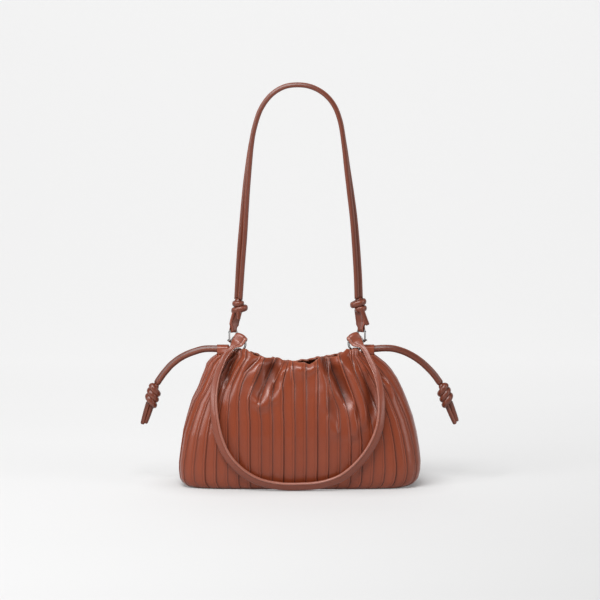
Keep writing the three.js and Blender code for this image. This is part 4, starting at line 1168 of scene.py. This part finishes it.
# %% Knots of the strap
# down, across, half width, lift: the two turns of each knot, in millimetres from the strap's foot. Lift is how
# much higher the turn is on its right than in its middle
TURNS = {
    "left": [(5.2, 0.0, 7.3, 0.4), (12.2, 2.2, 9.8, 2.2)],
    "right": [(5.8, -0.9, 9.8, 1.9), (12.8, 2.0, 7.5, 0.5)],
}
LOOP_STEPS = 36
LOOP_DEPTH = 6.0
CORE = (-1.2, 2, 5, 8, 11, 14.5)  # down
CORE_RADIUS = 4.9


def strap_knot(side):
    foot, way = strap_foot(side)
    right = FRONT.cross(way).normalized()
    right = right if right.x > 0 else -right
    parts = []
    for down, across, half, lift in TURNS[side]:
        centre = foot + way * (down * MM) + right * (across * MM)
        loop = []
        for k in range(LOOP_STEPS + 1):
            angle = 2 * math.pi * k / LOOP_STEPS
            out = right * ((half - 2.2) * math.cos(angle)) + FRONT * (LOOP_DEPTH * math.sin(angle))
            loop.append(centre + (out - way * (lift * math.cos(angle))) * MM)
        thick = 2.8 if half > 9 else 2.5
        parts.append(rolled_cord("turn", loop, thick * MM, (1.3,), 16, -way, False, 1.5))
    core = [foot + way * (down * MM) for down in CORE]
    parts.append(rolled_cord("core", core, CORE_RADIUS * MM, (), 16))
    knot = joined(f"strap_end_knot_{side}", parts)
    stands_for(knot, "rolled_leather", f"strap_knot_{side}")


for side in SIGN:
    strap_knot(side)

# %% [markdown]
# The tab is one strap that goes down in front of the clip's top bar, round it and up again behind. It narrows
# where it passes through the clip.


# %% Tabs round the clips
def strap_tab(side):
    foot, way = strap_foot(side)
    sign = SIGN[side]
    across = Vector((sign * math.cos(CLIP_YAW), -math.sin(CLIP_YAW), 0))
    normal = across.cross(UP)
    bar = at(*CLIP_PLACE[side]) + UP * ((CLIP_HEIGHT - CLIP_BAR) / 2 * MM)
    tab_top = foot + way * ((KNOT_TOP + KNOT_HEIGHT - 1.0) * MM)
    reach = (CLIP_BAR * 0.707 + 0.15 + 0.65) * MM
    fold_top = 3.4 * MM
    points = []
    for sheet, order in ((1, (1.0, 0.75, 0.5, 0.25)), (-1, (0.25, 0.5, 0.75, 1.0))):
        for share in order:
            drift = (tab_top - bar) * share
            level = fold_top + ((tab_top - bar).z - fold_top) * share
            points.append(bar + Vector((drift.x, drift.y, level)) + normal * (sheet * 0.75 * MM))
        if sheet == 1:
            for degrees in (0, -45, -90, -135, -180):
                angle = math.radians(degrees)
                points.append(bar + normal * (reach * math.cos(angle)) + UP * (reach * math.sin(angle)))
    line = smooth_line(points, 70)
    rows = []
    for centre, ahead in zip(line, tangents(line)):
        wide = (across - ahead * across.dot(ahead)).normalized()
        rows.append((centre, wide, ahead.cross(wide), Vector()))

    def width(share):
        near = abs(share - 0.5) * 2
        return TAB_NECK + (TAB_WIDTH - TAB_NECK) * float(rise(np.array(near), 0.22, 0.40))

    tab = flat_strap(f"strap_tab_fold_{side}", rows, [cord_leather, strap_leather], width, 1.2, 0.0)
    stands_for(tab, "leather", f"strap_tab_{side}")


for side in SIGN:
    strap_tab(side)

# %% [markdown]
# One flattened end of cord hangs out of each knot in front of the tab, as the photo shows.


# %% Short ends beside the tabs
def strap_tail(side):
    foot, way = strap_foot(side)
    below = foot + way * ((KNOT_TOP + KNOT_HEIGHT) * MM)
    shift, slant, drop = TAIL[side]
    points = []
    for share in (0, 0.3, 0.6, 1.0):
        ahead = (0.39 + 0.12 * share) * STRAP_KNOT
        x = below.x + (shift + slant * share) * MM
        points.append(Vector((x, below.y - ahead * MM, below.z + 2 * MM - share * (drop + 2) * MM)))
    name, line = f"strap_end_tail_{side}", smooth_line(points, 18)
    end = rolled_cord(name, line, STRAP_DIAMETER / 2 * MM, (1.1,), 16, flat=0.55, sizes=lambda s: 1 - 0.2 * s)
    stands_for(end, "rolled_leather", f"strap_tail_{side}")


for side in SIGN:
    strap_tail(side)

# %% [markdown]
# ## Ring loops
# Each ring is tied to the wall by a leather loop. It goes round the bottom of the ring and lies on the
# inside of the front wall, where the gathered leather hides most of it.


# %% Ring loops
def ring_loop(side, lie):
    centre, radial, tangent, front = ring_point(side, 180)
    reach = (RING_WIRE / 2 + 0.9 + 0.6) * MM
    middle = centre + UP * (0.4 * MM)

    def spot(forward, down):
        return middle + front * (forward * MM) - UP * (down * MM)

    points = [spot(lie, 33), spot(lie, 25), spot(lie * 0.55, 12)]
    for degrees in (-20, 25, 90, 155, 200):
        angle = math.radians(degrees)
        points.append(middle + front * (reach * math.cos(angle)) + UP * (reach * math.sin(angle)))
    points += [spot(lie * 0.55 - 1.7, 13), spot(lie - 1.7, 25), spot(lie - 1.7, 33)]
    line = smooth_line(points, 60)
    rows = []
    for step, ahead in zip(line, tangents(line)):
        wide = (tangent - ahead * tangent.dot(ahead)).normalized()
        rows.append((step, wide, ahead.cross(wide), Vector()))
    loop = flat_strap(f"ring_tie_{side}", rows, [strap_leather, edge_paint], lambda s: 7.6, 1.3, 0.0)
    stands_for(loop, "leather", f"ring_loop_{side}")


ring_loop("left", 5.0)
ring_loop("right", 7.0)

# %% [markdown]
# ## Clips
# The clips' frames and levers have their real shape in the CAD model already, so those two nodes stay and
# only take the silver finish.

# %% Clips
for side in SIGN:
    for part in ("clip_frame", "clip_gate"):
        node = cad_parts[f"{part}_{side}"]
        node.data.materials.clear()
        node.data.materials.append(silver_finish.material)
        print(node.name, "takes the silver finish")

# %% [markdown]
# ## Studio
# The purse stands on a pale sweep that runs up behind it, in the light of large softboxes: one above, one on
# each side in front. The paper glows a little, so that the picture is evenly pale from the floor to the top,
# and the glow fades where the purse stands on it, which paints a thin dark contact shadow under the base.


# %% Floor and backdrop
# back, glow: share of the way from the floor's front edge to the backdrop, and how much the paper glows
GLOW = [
    (0, 0.66), (0.3, 0.64), (0.375, 0.5), (0.421, 0.2), (0.467, 0.25), (0.53, 0.36), (0.583, 0.45),
    (0.651, 0.53), (0.738, 0.6), (0.861, 0.635), (1, 0.67),
]
FLOOR_FRONT, FLOOR_BACK = -3.0, 1.2
SWEEP_RADIUS = 1.4
HALF_WIDTH = 5
GLOW_REACH = 5.7  # metres from the floor's front edge to the end of the glow's table


def sweep():
    bm = bmesh.new()
    bmesh.ops.create_grid(bm, x_segments=1, y_segments=40, size=1)
    for v in bm.verts:
        share = (v.co.y + 1) / 2
        if share < 0.5:
            y, z = FLOOR_FRONT + share * 2 * (FLOOR_BACK - FLOOR_FRONT), 0.0
        else:
            angle = (share - 0.5) * math.pi
            y, z = FLOOR_BACK + SWEEP_RADIUS * math.sin(angle), SWEEP_RADIUS * (1 - math.cos(angle))
            if share > 0.95:
                z += (share - 0.95) * 40
        v.co = (v.co.x * HALF_WIDTH, y, z + at(0, 0, -0.15).z)
    floor = finished("floor", bm, [])
    finish = Finish("pale paper")
    place = finish.node("ShaderNodeTexCoord", {}, {}, 3)
    paper = finish.mix(finish.noise(place, 2.0), (0.45, 0.45, 0.45, 1), (0.44, 0.44, 0.44, 1))
    back = (finish.part(place, 1) - FLOOR_FRONT) * (1 / GLOW_REACH)
    glow = finish.node("ShaderNodeValToRGB", {"stops": GLOW}, {0: back})
    # Painted shadow: the paper's glow goes dark where the purse is close, as a contact shadow under the base.
    painted_shadow_factor = finish.node("ShaderNodeAmbientOcclusion", {"samples": 8}, {"Distance": 0.05}, 1)
    glow = finish.mix(painted_shadow_factor, (0.04, 0.04, 0.04, 1), glow)
    finish.shade(Base_Color=paper, Roughness=0.9, Emission_Color=glow, Emission_Strength=1.0)
    floor.data.materials.append(finish.material)
    return floor


sweep()

# %% [markdown]
# An area light is a softbox: a rectangle that shines at a point on the purse. The sky gives only a faint even
# light; to the camera it is as pale as the paper, so that views from the back have a pale ground as well.

# %% Softboxes and sky
AIM = (0, 0, -0.35)
SKY_LIGHT, SKY_SEEN = 0.16, 0.85


def softbox(name, place, width, height, power):
    light = bpy.data.lights.new(name, "AREA")
    light.shape = "RECTANGLE"
    light.size, light.size_y = width, height
    light.energy = power
    lamp = bpy.data.objects.new(name, light)
    lamp.location = place
    lamp.rotation_euler = (Vector(AIM) - Vector(place)).to_track_quat("-Z", "Y").to_euler()
    bpy.context.scene.collection.objects.link(lamp)


softbox("softbox above", (-0.3, -0.8, 0.75), 0.9, 0.55, 20)
softbox("softbox left", (-1.3, -0.9, 0.35), 0.5, 1.0, 11)
softbox("softbox right", (1.5, -0.7, 0.15), 0.4, 1.1, 6.5)
world = bpy.data.worlds.new("studio")
bpy.context.scene.world = world
world.use_nodes = True
sky = world.node_tree.nodes["Background"]
sky.inputs["Color"].default_value = (1, 1, 1, 1)
rays = world.node_tree.nodes.new("ShaderNodeLightPath")
strength = world.node_tree.nodes.new("ShaderNodeMix")
strength.inputs[2].default_value, strength.inputs[3].default_value = SKY_LIGHT, SKY_SEEN
world.node_tree.links.new(rays.outputs["Is Camera Ray"], strength.inputs[0])
world.node_tree.links.new(strength.outputs[0], sky.inputs["Strength"])
bpy.context.scene.view_settings.view_transform = "Standard"
